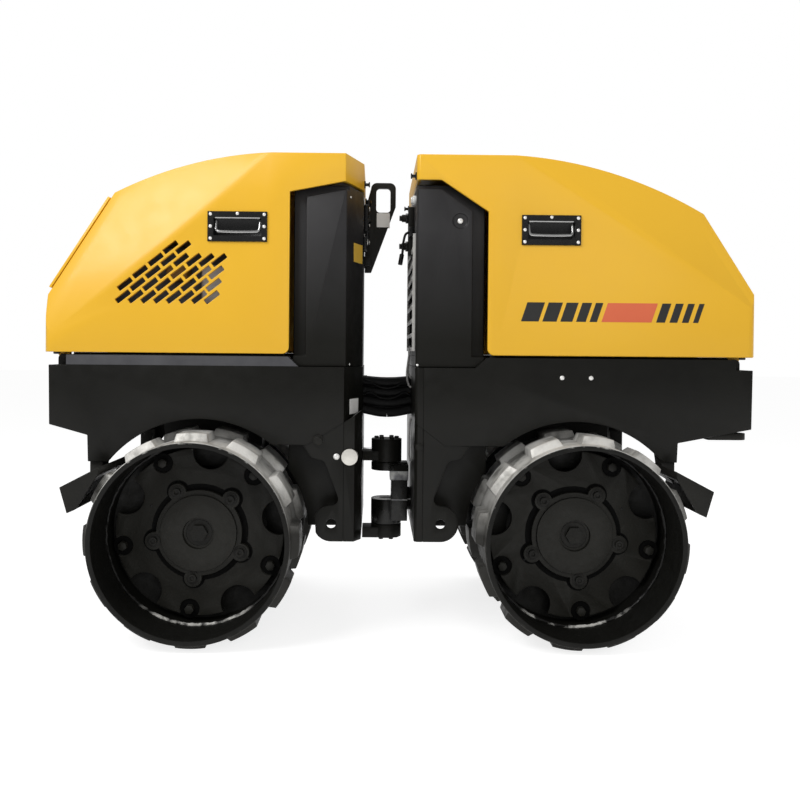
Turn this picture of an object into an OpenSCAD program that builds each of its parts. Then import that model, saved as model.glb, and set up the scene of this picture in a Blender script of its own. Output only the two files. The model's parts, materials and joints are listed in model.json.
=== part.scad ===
// Articulated trench roller: two modules on split padfoot drums, joined by a steering and swinging yoke.
// Millimetres, Z up, ground at Z = 0, front towards -X, centre of the length and width at X = Y = 0.

/* [Overall] */
// Width over the outer faces of the drums
overall_w = 850; // [820:2:880]
// Width of the body over its side plates
body_w = 620; // [600:2:640]
// Height of the flat part of the hood tops
hood_top = 1300; // [1280:2:1330]
// Distance between the two drum axles
wheelbase = 1016; // [1004:2:1040]
// Front drum axle to the outer end of the front hood
front_end_len = 407; // [397:1:422]
// Rear drum axle to the outer end of the rear hood
rear_end_len = 474; // [462:1:492]

/* [Drums] */
// Radius of the drum shell without its lugs
shell_r = 260; // [250:1:264]
// Wall of the drum shell
shell_t = 14; // [8:1:20]
// Height of a lug over the shell
lug_h = 20; // [12:1:24]
// Lugs in one row
lug_n = 12; // [10:1:14]
// Length of a lug round the drum, at its foot
lug_len = 96; // [60:1:100]
// Width of a lug along the axle, at its foot
lug_w = 124; // [90:1:130]
// Slope of the lug's sides, as the run from foot to top
lug_slope = 12; // [4:1:16]
// Plain rim between a drum's edge and its lugs
rim_w = 34; // [20:1:40]
// Gap between the two halves of a drum
drum_gap = 160; // [150:2:180]
// Depth of the drive disc inside the drum's outer face
disc_depth = 172; // [140:1:190]
// Radius of the drive disc
disc_r = 228; // [220:1:234]
// Thickness of the drive disc
disc_t = 12; // [8:1:16]
// Radius of the scallops in the drive disc's edge
scallop_r = 48; // [30:1:55]
// Radius of the circle of rubber mounts
buffer_circle_r = 212; // [208:1:214]
// Radius of a rubber mount
buffer_r = 25; // [18:1:28]
// Length of a rubber mount
buffer_len = 32; // [20:1:40]
// Number of rubber mounts and hub bolts
hub_n = 5; // [4:1:6]
// Radius of the circle of hub bolts
hub_bolt_circle_r = 124; // [118:1:130]
// Radius of the hub flange between its lobes
hub_r = 116; // [112:1:120]
// Radius of the round hub cover
hub_cover_r = 103; // [90:1:108]
// Radius of the drum shaft
shaft_r = 35; // [28:1:40]

/* [Frame] */
// Top edge of the frame's side plates
frame_top = 732; // [725:1:740]
// Lower edge of the side plates at their outer end
frame_low = 574; // [560:1:590]
// Lower end of the frame's legs
leg_low = 266; // [255:1:280]
// Thickness of the side plates
plate_t = 14; // [8:1:20]
// Radius of the wheel arch over the drum
arch_r = 311; // [300:1:318]
// Height of the deck under the hood
deck_top = 760; // [755:1:764]
// Depth of the sloped ledge, seen from above
ledge_w = 26; // [20:1:34]
// Distance from the steering axis to each module's inner end
end_gap = 71; // [66:1:80]
// How far the front hood stands past its frame
front_overhang = 14; // [8:1:20]
// How far the rear hood stands past its frame
rear_overhang = 8; // [4:1:12]
// Radius of the tie-down eye in each leg
tie_hole_r = 13; // [10:0.5:16]

/* [Hoods] */
// Wall thickness of the hoods
hood_t = 12; // [6:1:16]
// Gap between deck and hood
hood_gap = 6; // [4:1:8]
// Lean of the hood's upper facets
facet_lean = 20; // [12:1:26]
// Length of a louvre slot
slot_len = 44; // [30:1:48]
// Width of a louvre slot
slot_w = 15; // [10:1:18]
// Length of a handle plate
handle_len = 158; // [140:1:170]
// Height of a handle plate
handle_h = 80; // [70:1:90]
// Radius of the hood hinge pins
hinge_pin_r = 7; // [5:0.5:9]

/* [Steering] */
// Radius of the steering pins
pin_r = 20; // [16:1:24]
// Radius of the steering bearing housings
housing_r = 45; // [40:1:48]
// Height of the swing axis of the yoke
swing_z = 336; // [330:1:342]
// Radius of the swing shaft
swing_r = 34; // [28:1:38]
// Distance from the steering axis to the cylinder's rod pin
steer_lever = 75; // [70:1:80]
// Height of the steering cylinder
cylinder_z = 466; // [462:1:470]
// Running clearance of pins and shafts, on the radius
run_gap = 0.05; // [0.02:0.01:0.1]

/* [Lifting eye] */
// Thickness of the lifting plate
eye_t = 20; // [12:1:25]
// Width of the lifting plate at its top
eye_w = 74; // [70:1:80]
// Height of the lifting plate over the towers
eye_rise = 56; // [44:1:66]

/* [Hidden] */

$fn = 64;
fine = 128;
steel = "#22221f";
satin = "#38373a";
paint = "#e8b846";
worn = "#b9b9b4";
rubber = "#1a1a1a";
zinc = "#bdb9ad";

half = body_w / 2;
side_y = overall_w / 2;
axle_u = wheelbase / 2;
front_hood_len = axle_u + front_end_len;
rear_hood_len = axle_u + rear_end_len;
front_frame_len = front_hood_len - front_overhang;
rear_frame_len = rear_hood_len - rear_overhang;
axle_z = shell_r + lug_h;
steer_x = (front_hood_len - rear_hood_len) / 2;
drum_in = drum_gap / 2;
drum_w = side_y - drum_in;
disc_y = side_y - disc_depth;
seat = 0.3;

// Front module: outward is -X. Rear module: outward is +X. Both are drawn with outward along +X.
module at_front() translate([steer_x, 0, 0]) mirror([1, 0, 0]) children();
module at_rear() translate([steer_x, 0, 0]) children();
module both_sides() { children(); mirror([0, 1, 0]) children(); }
// Extrudes an outline drawn in (outward, up) across the width, from y0 to y1.
module across(y0, y1) translate([0, y1, 0]) rotate([90, 0, 0]) linear_extrude(y1 - y0) children();
module block(low, high) translate(low) cube(high - low);
module rod_y(u, z, r, y0, y1) translate([u, y0, z]) rotate([-90, 0, 0]) cylinder(r = r, h = y1 - y0);

// Plan of a module: its inner end with cut corners, its sides and its outer end, drawn inwards by t.
front_cut = [47, 146];
rear_cut = [8, 8];
function plan(len, cut, t, out_cut = 12, side = half) =
    let (lean = atan2(cut[0], cut[1]), w = side - t, u0 = end_gap + t,
         y1 = min(w - 1, side - cut[1] - t * tan(lean / 2)),
         u1 = max(u0 + 1, end_gap + cut[0] + t * tan((90 - lean) / 2)),
         e = len - t, c = out_cut)
    [[u0, -y1], [u1, -w], [e - c, -w], [e, -w + c], [e, w - c], [e - c, w], [u1, w], [u0, y1]];

// Eye of the steering cylinder's barrel, as (outward, across)
barrel_eye = [225, 95];

// Towers
tower_in = 18;
tower_t = 8;
tower_top = hood_top - 80;
eye_top = tower_top + eye_rise;
tower_back = end_gap + 186;

// Frame
inner_low = 524;
floor_z = axle_z + arch_r + 5;
floor_t = 12;
end_t = 20;
end_skin = 12;
recess = 5;
// Step in the lower edge, from the axle, with its upper and its lower edge
front_step = [290, 546, 476];
rear_step = [267, 536, 484];
// Slanted lower edge of the side plate over the leg: its height at the inner end, and where it meets inner_low
front_fold = [614, 145];
rear_fold = [585, 81];
// Corners of the lower leg, which lies behind the side plate, and of its foot
leg_cut = [18, 60];
foot_cut = [18, 34];
foot_h = 24;
// Leg, from the inner end: its eye, and the rounded corners of the opening beside it
ear_r = 48;
ear_z = leg_low + ear_r;
crook_r = 18;
bend_r = 22;
ear = [79, ear_z];
crook = [79, ear_z + ear_r + crook_r];
bend = [115, leg_low + 197];
lobe = [134, inner_low - 34];
lobe_end = [157, inner_low];
rear_leg_shift = -8;
front_leg_u = end_gap;
rear_leg_u = end_gap + rear_leg_shift;
// Where a side plate meets the inner end plate
function joint_u(cut) = end_gap + max(cut[0], end_t + 3);

module leg_opening() {
    lean = [crook[1] - bend[1], bend[0] - crook[0]] / norm(bend - crook);
    translate(bend) circle(bend_r);
    translate(crook) circle(crook_r);
    polygon([bend + bend_r * lean, bend + [0, bend_r], lobe, lobe_end, [lobe_end[0] + 90, inner_low],
             [lobe_end[0] + 90, ear_z + ear_r], [crook[0], ear_z + ear_r], crook + crook_r * lean]);
}

module side_outline(len, step, cut, leg_u) {
    side_u = joint_u(cut);
    difference() {
        union() {
            polygon([
                [side_u, inner_low - 1], [side_u, frame_top], [len, frame_top], [len - 2, frame_low],
                [axle_u + step[0], step[1]], [axle_u + step[0] - 2, step[2]], [axle_u, step[2]], [axle_u, inner_low],
                [leg_u + lobe_end[0], inner_low], [leg_u + lobe_end[0], inner_low - 1]
            ]);
            translate([side_u, leg_low]) square([leg_u + ear[0] - side_u, inner_low - leg_low]);
            translate([side_u, ear_z + ear_r]) square([leg_u + lobe_end[0] - side_u, inner_low - ear_z - ear_r]);
            translate([leg_u, 0] + ear) circle(ear_r);
        }
        translate([axle_u - 6, axle_z]) circle(arch_r, $fn = fine);
        translate([leg_u, 0]) leg_opening();
        translate([leg_u, 0] + ear) circle(tie_hole_r);
        square([side_u, inner_low]);
    }
}

// The part of a module's side below the slanted fold, in (outward, up)
module below_fold(fold)
    polygon([[0, 0], [end_gap + fold[1] + 200, 0], [end_gap + fold[1] + 200, inner_low],
             [end_gap + fold[1], inner_low], [end_gap, fold[0]], [0, fold[0]]]);

module ledge(inner_u, outer_u) {
    // Sloped ledge under the hood, with its seal
    difference() {
        across(0, half) polygon([[inner_u - 30, frame_top], [inner_u, deck_top], [outer_u, deck_top], [outer_u, frame_top]]);
        translate([inner_u - 60, half, frame_top]) rotate([atan2(deck_top - frame_top, ledge_w) - 90, 0, 0])
            cube([outer_u, 80, 80]);
        block([inner_u - 60, -1, frame_top - 1], [outer_u + 1, half - ledge_w - 34, deck_top + 1]);
        block([inner_u - 60, -1, frame_top - 1], [tower_back + seat, half - tower_in + seat, deck_top + 1]);
    }
    block([inner_u + 12, half - ledge_w - 24, deck_top], [outer_u - 8, half - ledge_w - 12, deck_top + hood_gap - seat]);
}

// Side plates with their legs, ledges and inner plates beside the drums
inner_plate_y = half - 84;
inner_plate_t = 10;
inner_plate_len = 179;
module frame_sides(len, step, cut, fold, leg_u, hood_u) both_sides() {
    u0 = end_gap + end_t;
    across(half - plate_t, half - recess) side_outline(len, step, cut, leg_u);
    across(half - recess, half) difference() {
        side_outline(len, step, cut, leg_u);
        below_fold(fold);
    }
    ledge(hood_u, len - 46);
    across(inner_plate_y, inner_plate_y + inner_plate_t) difference() {
        polygon([[u0, leg_low + 31], [u0, floor_z - 46], [joint_u(cut), floor_z - 14], [joint_u(cut), floor_z],
                 [u0 + inner_plate_len, floor_z], [u0 + inner_plate_len, leg_low + 31]]);
        translate([axle_u, axle_z]) circle(axle_z + 12, $fn = fine);
    }
}

// Inner end plate with cut corners, and its two lower corners behind the fold
module end_shell(len, cut, side, low, high) difference() {
    translate([0, 0, low]) linear_extrude(high - low) polygon(plan(len, cut, 0, 12, side));
    translate([0, 0, low - 1]) linear_extrude(high - low + 2) polygon(plan(len + 50, cut, end_t, 12, side));
}
module frame_end(len, cut, low_cut, low_foot, fold) difference() {
    union() {
        difference() {
            end_shell(len, cut, half, inner_low, frame_top);
            across(-half - 1, half + 1) below_fold(fold);
        }
        intersection() {
            end_shell(len, low_cut, half - recess, leg_low, frame_top);
            across(-half - 1, half + 1) below_fold(fold);
        }
        end_shell(len, low_foot, half - recess, leg_low, leg_low + foot_h);
    }
    block([joint_u(cut), -half - 1, leg_low - 1], [len + 1, half + 1, frame_top + 1]);
    children();
}

// Floor over the drums and outer end plate
module frame_floor(len, cut) {
    side_u = joint_u(cut);
    translate([0, 0, floor_z]) linear_extrude(floor_t) {
        intersection() {
            polygon(plan(len, cut, end_t));
            translate([end_gap, -half]) square([side_u - end_gap + 1, body_w]);
        }
        translate([side_u, plate_t - half]) square([len - 2 - side_u, body_w - 2 * plate_t]);
    }
    block([len - 2 - end_skin, plate_t - half, frame_low + 6], [len - 2, half - plate_t, frame_top]);
}

lock_pin_u = 102;
lock_pin_z = 492;
lock_pin_r = 22;
bearing_len = 130;
bearing_r = swing_r + 24;

module lock_bore() rod_y(lock_pin_u, lock_pin_z, lock_pin_r + seat, -half - 1, -half + 60);

module front_sides() color(steel) at_front()
    difference() {
        frame_sides(front_frame_len, front_step, front_cut, front_fold, front_leg_u, hood_inner[0] + 4);
        lock_bore();
    }
module rear_sides() color(steel) at_rear()
    frame_sides(rear_frame_len, rear_step, rear_cut, rear_fold, rear_leg_u, hood_inner[1] - 1);

module front_end() color(steel) at_front()
    frame_end(front_frame_len, front_cut, leg_cut, foot_cut, front_fold) {
        block([end_gap - 1, steer_lever - 32, cylinder_z - 46], [end_gap + end_t + 2, steer_lever + 45, cylinder_z + 46]);
        lock_bore();
    }

module rear_end() color(steel) at_rear() difference() {
    union() {
        frame_end(rear_frame_len, rear_cut, rear_cut, rear_cut, rear_fold);
        translate([end_gap + 4, 0, swing_z]) rotate([0, 90, 0]) cylinder(r = bearing_r, h = bearing_len);
        for (y = [-8, 8]) across(y - 6, y + 6) polygon([[end_gap + 10, swing_z + bearing_r - 10],
            [end_gap + bearing_len - 20, swing_z + bearing_r - 10], [end_gap + 10, floor_z - 60]]);
    }
    translate([end_gap - 1, 0, swing_z]) rotate([0, 90, 0]) cylinder(r = swing_r + run_gap, h = bearing_len + 10);
}

module front_frame() color(steel) at_front() {
    frame_floor(front_frame_len, front_cut);
    // Post and pin of the steering cylinder
    translate([barrel_eye[0], barrel_eye[1], 0]) {
        translate([0, 0, cylinder_z + 13 + seat]) cylinder(r = 20, h = floor_z - cylinder_z - 12);
        translate([0, 0, cylinder_z - 13]) cylinder(r = 10, h = 30);
    }
}
module rear_frame() color(steel) at_rear() frame_floor(rear_frame_len, rear_cut);

// Towers between the hoods

// Side panels stand proud up to a slanted top edge and to the groove before the hood
groove_u = end_gap + 152;
groove_d = 20;
front_panel_top = [[0, tower_top - 12], [118, tower_top - 12], [groove_u, tower_top - 33]];
rear_panel_top = [[0, tower_top - 8], [137, tower_top - 8], [groove_u, tower_top - 67]];

module tower_step(panel_top, t) both_sides()
    across(half - tower_in - groove_d - t, half + 1) polygon([
        [groove_u - t, deck_top + 2 - t], [groove_u + 200, deck_top + 2 - t], [groove_u + 200, hood_top], [0, hood_top],
        for (p = panel_top) p - [p[0] == groove_u ? t : 0, t]]);

module tower_layer(len, cut, panel_top, low, high, t) difference() {
    translate([2 - tower_in, 0, low]) linear_extrude(high - low) polygon(plan(len, cut, tower_in + t));
    tower_step(panel_top, t);
}

module tower_body(len, cut, panel_top, back_u, top) difference() {
    tower_layer(len, cut, panel_top, frame_top, top, 0);
    tower_layer(len + 60, cut, panel_top, frame_top - 1, top - tower_t, tower_t);
    block([back_u, -half - 1, frame_top - 2], [len + 61, half + 1, top + 1]);
}

module front_tower() color(satin) at_front()
    tower_body(front_frame_len, front_cut, front_panel_top, tower_back, tower_top);

module rear_tower() color(satin) at_rear() difference() {
    tower_body(rear_frame_len, rear_cut, rear_panel_top, tower_back, tower_top + 4);
    block([end_gap - 2, -grille_half, grille_low], [end_gap + 22, grille_half, grille_high]);
    for (s = [-1, 1]) rod_y(189, tower_top - 94, 20, s * (half - tower_in - 2) - 3, s * (half - tower_in - 2) + 3);
}

// Radiator grille in the rear module's inner end: a panel with long openings, and a slanted blade behind each
grille_low = 764;
grille_high = tower_top - 108;
grille_half = half - 100;
grille_pitch = 46;
grille_n = floor((grille_high - grille_low - 20) / grille_pitch);
grille_slot = 32;
grille_t = 6;
blade_depth = 20;

module rear_grille() color(satin) at_rear() {
    u0 = end_gap + 2;
    slot_half = grille_half - 10;
    first_z = (grille_low + grille_high - (grille_n - 1) * grille_pitch) / 2;
    difference() {
        block([u0, -grille_half + seat, grille_low + seat], [u0 + grille_t, grille_half - seat, grille_high - seat]);
        for (k = [0 : grille_n - 1]) let (z = first_z + k * grille_pitch)
            block([u0 - 1, -slot_half, z - grille_slot / 2], [u0 + grille_t + 1, slot_half, z + grille_slot / 2]);
    }
    for (k = [0 : grille_n - 1]) let (z = first_z + k * grille_pitch + grille_slot / 2) across(-slot_half - 4, slot_half + 4)
        polygon([[u0 + grille_t - 1, z], [u0 + grille_t - 1, z + 4], [u0 + blade_depth, z - 18], [u0 + blade_depth, z - 22]]);
}

// Hoods
hood_inner = [266, 263];
front_inner_u = hood_inner[0];
rear_inner_u = hood_inner[1];
hood_corner_r = 22;
hood_foot_r = 18;
front_nose = [front_hood_len - 147, hood_top - 109, hood_top - 359];
rear_nose = [rear_hood_len - 125, hood_top - 140, hood_top - 365];
front_arc = [315, 1000];
rear_arc = [320, 1088];
front_crease = [315, 39.6];
rear_crease = [337, 32.6];

module hood_solid(len, cut, nose, arc, crease, t, nose_t) {
    low = deck_top + hood_gap;
    slope = atan2(nose[1] - nose[2], len - nose[0]);
    difference() {
        intersection() {
            translate([0, 0, low + (t > 0 ? -1 : 0)]) linear_extrude(hood_top - low - t + (t > 0 ? 1 : 0)) {
                polygon(plan(len, cut, t, hood_corner_r - t));
                for (s = [-1, 1]) translate([len - hood_corner_r, s * (half - hood_corner_r)])
                    circle(hood_corner_r - t, $fn = 48);
            }
            union() {
                block([0, -half, 0], [arc[0], half, hood_top + 1]);
                rod_y(arc[0], hood_top - arc[1], arc[1] - t, -half - 1, half + 1, $fn = 400);
            }
        }
        translate([len, 0, nose[2]]) rotate([0, slope - 90, 0])
            block([-(t + nose_t), -half - 1, -200], [300, half + 1, 600]);
        both_sides() translate([crease[0], half, hood_top]) rotate([0, crease[1], 0]) rotate([facet_lean, 0, 0])
            block([-400, -t, -400], [1100, 200, 600]);
    }
}

module hood_shell(len, inner_u, cut, nose, arc, crease, nose_t) {
    difference() {
        hood_solid(len, cut, nose, arc, crease, 0, nose_t);
        hood_solid(len, cut, nose, arc, crease, hood_t, nose_t);
        // Rounded lower corner of the inner end
        across(-half - 1, half + 1) translate([inner_u - 1, deck_top + hood_gap - 1]) difference() {
            square(hood_foot_r + 1);
            translate([hood_foot_r + 1, hood_foot_r + 1]) circle(hood_foot_r);
        }
        children();
    }
}

// Slanted louvre slots, five rows that end on a slanted line
slot_turn = 38;
slot_pitch = 33.6;
slot_row_pitch = 32.9;
slot_low_z = hood_top - 386;
slot_start = [209, 214, 254, 295, 334];
slot_count = [8, 8, 7, 6, 2];

module louvre_slots()
    for (row = [0 : 4], k = [0 : slot_count[row] - 1])
        translate([front_hood_len - slot_start[row] - k * slot_pitch, 0, slot_low_z + row * slot_row_pitch])
            rotate([0, slot_turn, 0])
                block([-slot_len / 2, -half - 5, -slot_w / 2], [slot_len / 2, half + 5, slot_w / 2]);

handle_hole = 10;
module handle_opening(u, z)
    block([u - handle_len / 2 + handle_hole, -half - 5, z - handle_h / 2 + handle_hole],
          [u + handle_len / 2 - handle_hole, half + 5, z + handle_h / 2 - handle_hole]);

front_handle = [404, hood_top - 198];
rear_handle = [430, hood_top - 199];
front_pivot = [front_frame_len - 21, 748];
rear_pivot = [rear_frame_len - 28, 748];
arm_y = half - 80;
arm_t = 14;

module hood_flange(inner_u, len) both_sides()
    block([inner_u + hood_foot_r + 2, half - ledge_w - 28, deck_top + hood_gap], [len - 60, half - hood_t + 1, deck_top + hood_gap + 8]);

module hood_arms(pivot, len) {
    // Hinge arms inside the hood's outer end, with bores for the pins
    both_sides() difference() {
        across(arm_y, arm_y + arm_t) difference() {
            union() {
                translate(pivot) circle(15);
                polygon([[pivot[0] - 15, pivot[1]], [pivot[0] - 15, pivot[1] + 60], [len - hood_t + 1, pivot[1] + 90],
                         [len - hood_t + 1, pivot[1] + 24], [pivot[0] + 14, pivot[1] + 5]]);
            }
            translate(pivot) circle(hinge_pin_r + run_gap);
        }
    }
}

module front_hood() color(paint) at_front() {
    hood_shell(front_hood_len, front_inner_u, front_cut, front_nose, front_arc, front_crease, nose_depth) {
        across(-half - 1, half + 1) polygon([[0, 600], [front_inner_u, 600], [front_inner_u, hood_top - 103],
                                             [end_gap + front_cut[0], hood_top - 74], [0, hood_top - 74]]);
        louvre_slots();
        handle_opening(front_handle[0], front_handle[1]);
    }
    hood_flange(front_inner_u, front_hood_len);
    hood_arms(front_pivot, front_hood_len);
}

module rear_hood() color(paint) at_rear() {
    hood_shell(rear_hood_len, rear_inner_u, rear_cut, rear_nose, rear_arc, rear_crease, 0) {
        across(-half - 1, half + 1) polygon([[0, 600], [rear_inner_u, 600], [rear_inner_u, hood_top - 151],
                                             [137, hood_top - 68], [0, hood_top - 68]]);
        handle_opening(rear_handle[0], rear_handle[1]);
    }
    hood_flange(rear_inner_u, rear_hood_len);
    hood_arms(rear_pivot, rear_hood_len);
}

// Cover panel on the front hood's nose, on four short posts
nose_depth = 11;
nose_cover_t = 8;
module front_nose() color(paint) at_front() {
    slope = atan2(front_nose[1] - front_nose[2], front_hood_len - front_nose[0]);
    span = norm([front_nose[1] - front_nose[2], front_hood_len - front_nose[0]]);
    intersection() {
        hood_solid(front_hood_len, front_cut, front_nose, front_arc, front_crease, 0, 0);
        translate([front_hood_len, 0, front_nose[2]]) rotate([0, slope - 90, 0])
            block([-nose_cover_t, -half - 1, 0], [20, half + 1, span]);
    }
    translate([front_hood_len, 0, front_nose[2]]) rotate([0, slope - 90, 0])
        for (y = [-150, 150], z = [60, span - 60]) translate([-nose_depth + seat, y, z]) rotate([0, 90, 0])
            cylinder(r = 12, h = nose_depth - nose_cover_t / 2 - seat);
}

module handle_plate(u, z) both_sides() difference() {
    union() {
        block([u - handle_len / 2, half + seat, z - handle_h / 2], [u + handle_len / 2, half + 4, z + handle_h / 2]);
        block([u - handle_len / 2 + handle_hole + 2, half - 34, z - handle_h / 2 + handle_hole + 2],
              [u + handle_len / 2 - handle_hole - 2, half + 1, z + handle_h / 2 - handle_hole - 2]);
    }
    block([u - handle_len / 2 + handle_hole + 6, half - 30, z - handle_h / 2 + handle_hole + 6],
          [u + handle_len / 2 - handle_hole - 6, half + 5, z + handle_h / 2 - handle_hole - 6]);
}

module front_handles() color(rubber) at_front() handle_plate(front_handle[0], front_handle[1]);
module rear_handles() color(rubber) at_rear() handle_plate(rear_handle[0], rear_handle[1]);

hinge_bar_top = frame_top - 6;
module hinge_ears(pivot, end_u) both_sides() {
    for (y = [arm_y - 12 - seat, arm_y + arm_t + seat]) across(y, y + 12) difference() {
        union() {
            translate(pivot) circle(13);
            translate([pivot[0] - 13, frame_top]) square([26, pivot[1] - frame_top]);
            translate([pivot[0] - 13, hinge_bar_top - 2]) square([end_u - pivot[0] + 13, frame_top - hinge_bar_top + 2]);
        }
    }
    rod_y(pivot[0], pivot[1], hinge_pin_r, arm_y - 6, arm_y + arm_t + 6);
}
module front_hinges() color(steel) at_front() {
    hinge_ears(front_pivot, front_frame_len - 14);
    block([front_pivot[0] - 16, -half + plate_t, hinge_bar_top - 12], [front_frame_len - 14, half - plate_t, hinge_bar_top]);
}
module rear_hinges() color(steel) at_rear() {
    hinge_ears(rear_pivot, rear_frame_len - 14);
    block([rear_pivot[0] - 16, -half + plate_t, hinge_bar_top - 12], [rear_frame_len - 14, half - plate_t, hinge_bar_top]);
}

// Heavy inner masses
mass_inner_u = 340;
engine_half = half - 120;
engine_top = hood_top - 240;
tank_half = half - 90;
tank_top = hood_top - 300;
module front_engine() color(steel) at_front()
    block([mass_inner_u, -engine_half, floor_z + floor_t + seat], [front_frame_len - 141, engine_half, engine_top]);
module rear_tank() color(steel) at_rear()
    block([mass_inner_u, -tank_half, floor_z + floor_t + seat], [rear_frame_len - 114, tank_half, tank_top]);

// Drive housing between the drum halves
drive_half = 48;
drive_hub_r = 120;
motor_r = 84;
module drive_body() {
    top = floor_z - seat;
    difference() {
        union() {
            across(-drive_half, drive_half) union() {
                translate([axle_u, axle_z]) circle(drive_hub_r, $fn = fine);
                polygon([[axle_u - 150, top], [axle_u - drive_hub_r, axle_z], [axle_u + drive_hub_r, axle_z],
                         [axle_u + 150, top]]);
            }
            rod_y(axle_u, axle_z, motor_r, -disc_y + disc_t + 8, disc_y - disc_t - 8);
        }
        rod_y(axle_u, axle_z, shaft_r + run_gap, -disc_y, disc_y);
    }
}
module front_drive() color(steel) at_front() drive_body();
module rear_drive() color(steel) at_rear() drive_body();

// Drums
lug_a = lug_len / (shell_r) * 180 / PI / 2;
lug_top_a = (lug_len / 2 - lug_slope) / (shell_r + lug_h) * 180 / PI;
module lug_ring(y0, turn) {
    // One row of lugs: a star of tapered teeth cut from a trapezoid ring
    r0 = shell_r - 4;
    r1 = shell_r + lug_h;
    intersection() {
        translate([0, y0 + lug_w / 2, 0]) rotate([90, 0, 0]) rotate_extrude($fn = fine) polygon([
            [r0, -lug_w / 2], [r0, lug_w / 2], [r1, lug_w / 2 - lug_slope], [r1, -lug_w / 2 + lug_slope]]);
        translate([0, y0 + lug_w, 0]) rotate([90, 0, 0]) linear_extrude(lug_w) for (k = [0 : lug_n - 1])
            rotate(k * 360 / lug_n + turn) polygon([
                [r0 * cos(lug_a) - 6, -r0 * sin(lug_a)], [(r1 + 8) * cos(lug_top_a), -(r1 + 8) * sin(lug_top_a)],
                [(r1 + 8) * cos(lug_top_a), (r1 + 8) * sin(lug_top_a)], [r0 * cos(lug_a) - 6, r0 * sin(lug_a)]]);
    }
}
// One drum half on the +Y side: shell, two rows of lugs, inner ring that carries the rubber mounts
ring_t = 14;
ring_in = 176;
module drum_half(turn) translate([axle_u, 0, axle_z]) {
    ring_y = disc_y - disc_t - buffer_len;
    difference() {
        translate([0, side_y, 0]) rotate([90, 0, 0]) cylinder(r = shell_r, h = drum_w, $fn = fine);
        translate([0, side_y + 1, 0]) rotate([90, 0, 0])
            cylinder(r = shell_r - shell_t, h = side_y + 1 - ring_y, $fn = fine);
        translate([0, ring_y - ring_t, 0]) rotate([90, 0, 0])
            cylinder(r = shell_r - shell_t, h = ring_y - ring_t - drum_in + 1, $fn = fine);
        translate([0, ring_y + 1, 0]) rotate([90, 0, 0]) cylinder(r = ring_in, h = ring_t + 2, $fn = fine);
    }
    lug_ring(side_y - rim_w - lug_w, turn);
    lug_ring(drum_in + rim_w / 2, turn + 180 / lug_n);
}
bolt_recess_r = 27;
bolt_recess = 5;
module drum_disc(turn) translate([axle_u, 0, axle_z]) {
    hub_y = disc_y + 16;
    step_a = 360 / hub_n;
    difference() {
        union() {
            translate([0, disc_y, 0]) rotate([90, 0, 0]) cylinder(r = disc_r, h = disc_t, $fn = fine);
            // Hub flange with a lobe at each bolt
            translate([0, hub_y, 0]) rotate([90, 0, 0]) linear_extrude(20) {
                circle(hub_r, $fn = fine);
                for (k = [0 : hub_n - 1]) rotate(90 - turn - k * step_a) translate([hub_bolt_circle_r, 0]) circle(24, $fn = 48);
            }
            translate([0, hub_y + 10, 0]) rotate([90, 0, 0]) cylinder(r = hub_cover_r, h = 14, $fn = fine);
        }
        for (k = [0 : hub_n - 1]) rotate([0, turn + k * step_a, 0])
            translate([0, disc_y + 1, buffer_circle_r]) rotate([90, 0, 0]) cylinder(r = bolt_recess_r, h = bolt_recess + 1);
        for (k = [0 : hub_n - 1]) rotate([0, turn + (k + 0.5) * step_a, 0])
            translate([0, disc_y + 1, disc_r - 8]) rotate([90, 0, 0]) cylinder(r = scallop_r, h = disc_t + 2);
        translate([0, hub_y + 11, 0]) rotate([90, 0, 0]) cylinder(r = 42, h = 15);
        translate([0, hub_y - 3, 0]) rotate([90, 0, 0]) cylinder(r = shaft_r + seat, h = 60);
    }
    for (k = [0 : hub_n - 1]) rotate([0, turn + k * step_a, 0])
        translate([0, disc_y + 12, buffer_circle_r]) rotate([90, 0, 0]) cylinder(r = 13, h = 13 + bolt_recess, $fn = 6);
}
module drum_buffers(turn) translate([axle_u, 0, axle_z])
    for (k = [0 : hub_n - 1]) rotate([0, turn + k * 360 / hub_n, 0])
        translate([0, disc_y - disc_t, buffer_circle_r]) rotate([90, 0, 0]) cylinder(r = buffer_r, h = buffer_len);
module drum_shaft() {
    rod_y(axle_u, axle_z, shaft_r, -disc_y - 12, disc_y + 12);
    both_sides() rod_y(axle_u, axle_z, 24, disc_y + 11, disc_y + 23, $fn = 6);
}

front_turn = 28.7;
rear_turn = 29.5;
rear_lug_turn = -8;
module front_left_drum() color(worn) at_front() mirror([0, 1, 0]) drum_half(0);
module front_right_drum() color(worn) at_front() drum_half(0);
module rear_left_drum() color(worn) at_rear() mirror([0, 1, 0]) drum_half(rear_lug_turn);
module rear_right_drum() color(worn) at_rear() drum_half(rear_lug_turn);
module front_left_disc() color(steel) at_front() mirror([0, 1, 0]) drum_disc(front_turn);
module front_right_disc() color(steel) at_front() drum_disc(front_turn);
module rear_left_disc() color(steel) at_rear() mirror([0, 1, 0]) drum_disc(rear_turn);
module rear_right_disc() color(steel) at_rear() drum_disc(rear_turn);
module front_buffers() color(rubber) at_front() both_sides() drum_buffers(front_turn);
module rear_buffers() color(rubber) at_rear() both_sides() drum_buffers(rear_turn);
module front_shaft() color(steel) at_front() drum_shaft();
module rear_shaft() color(steel) at_rear() drum_shaft();

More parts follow.
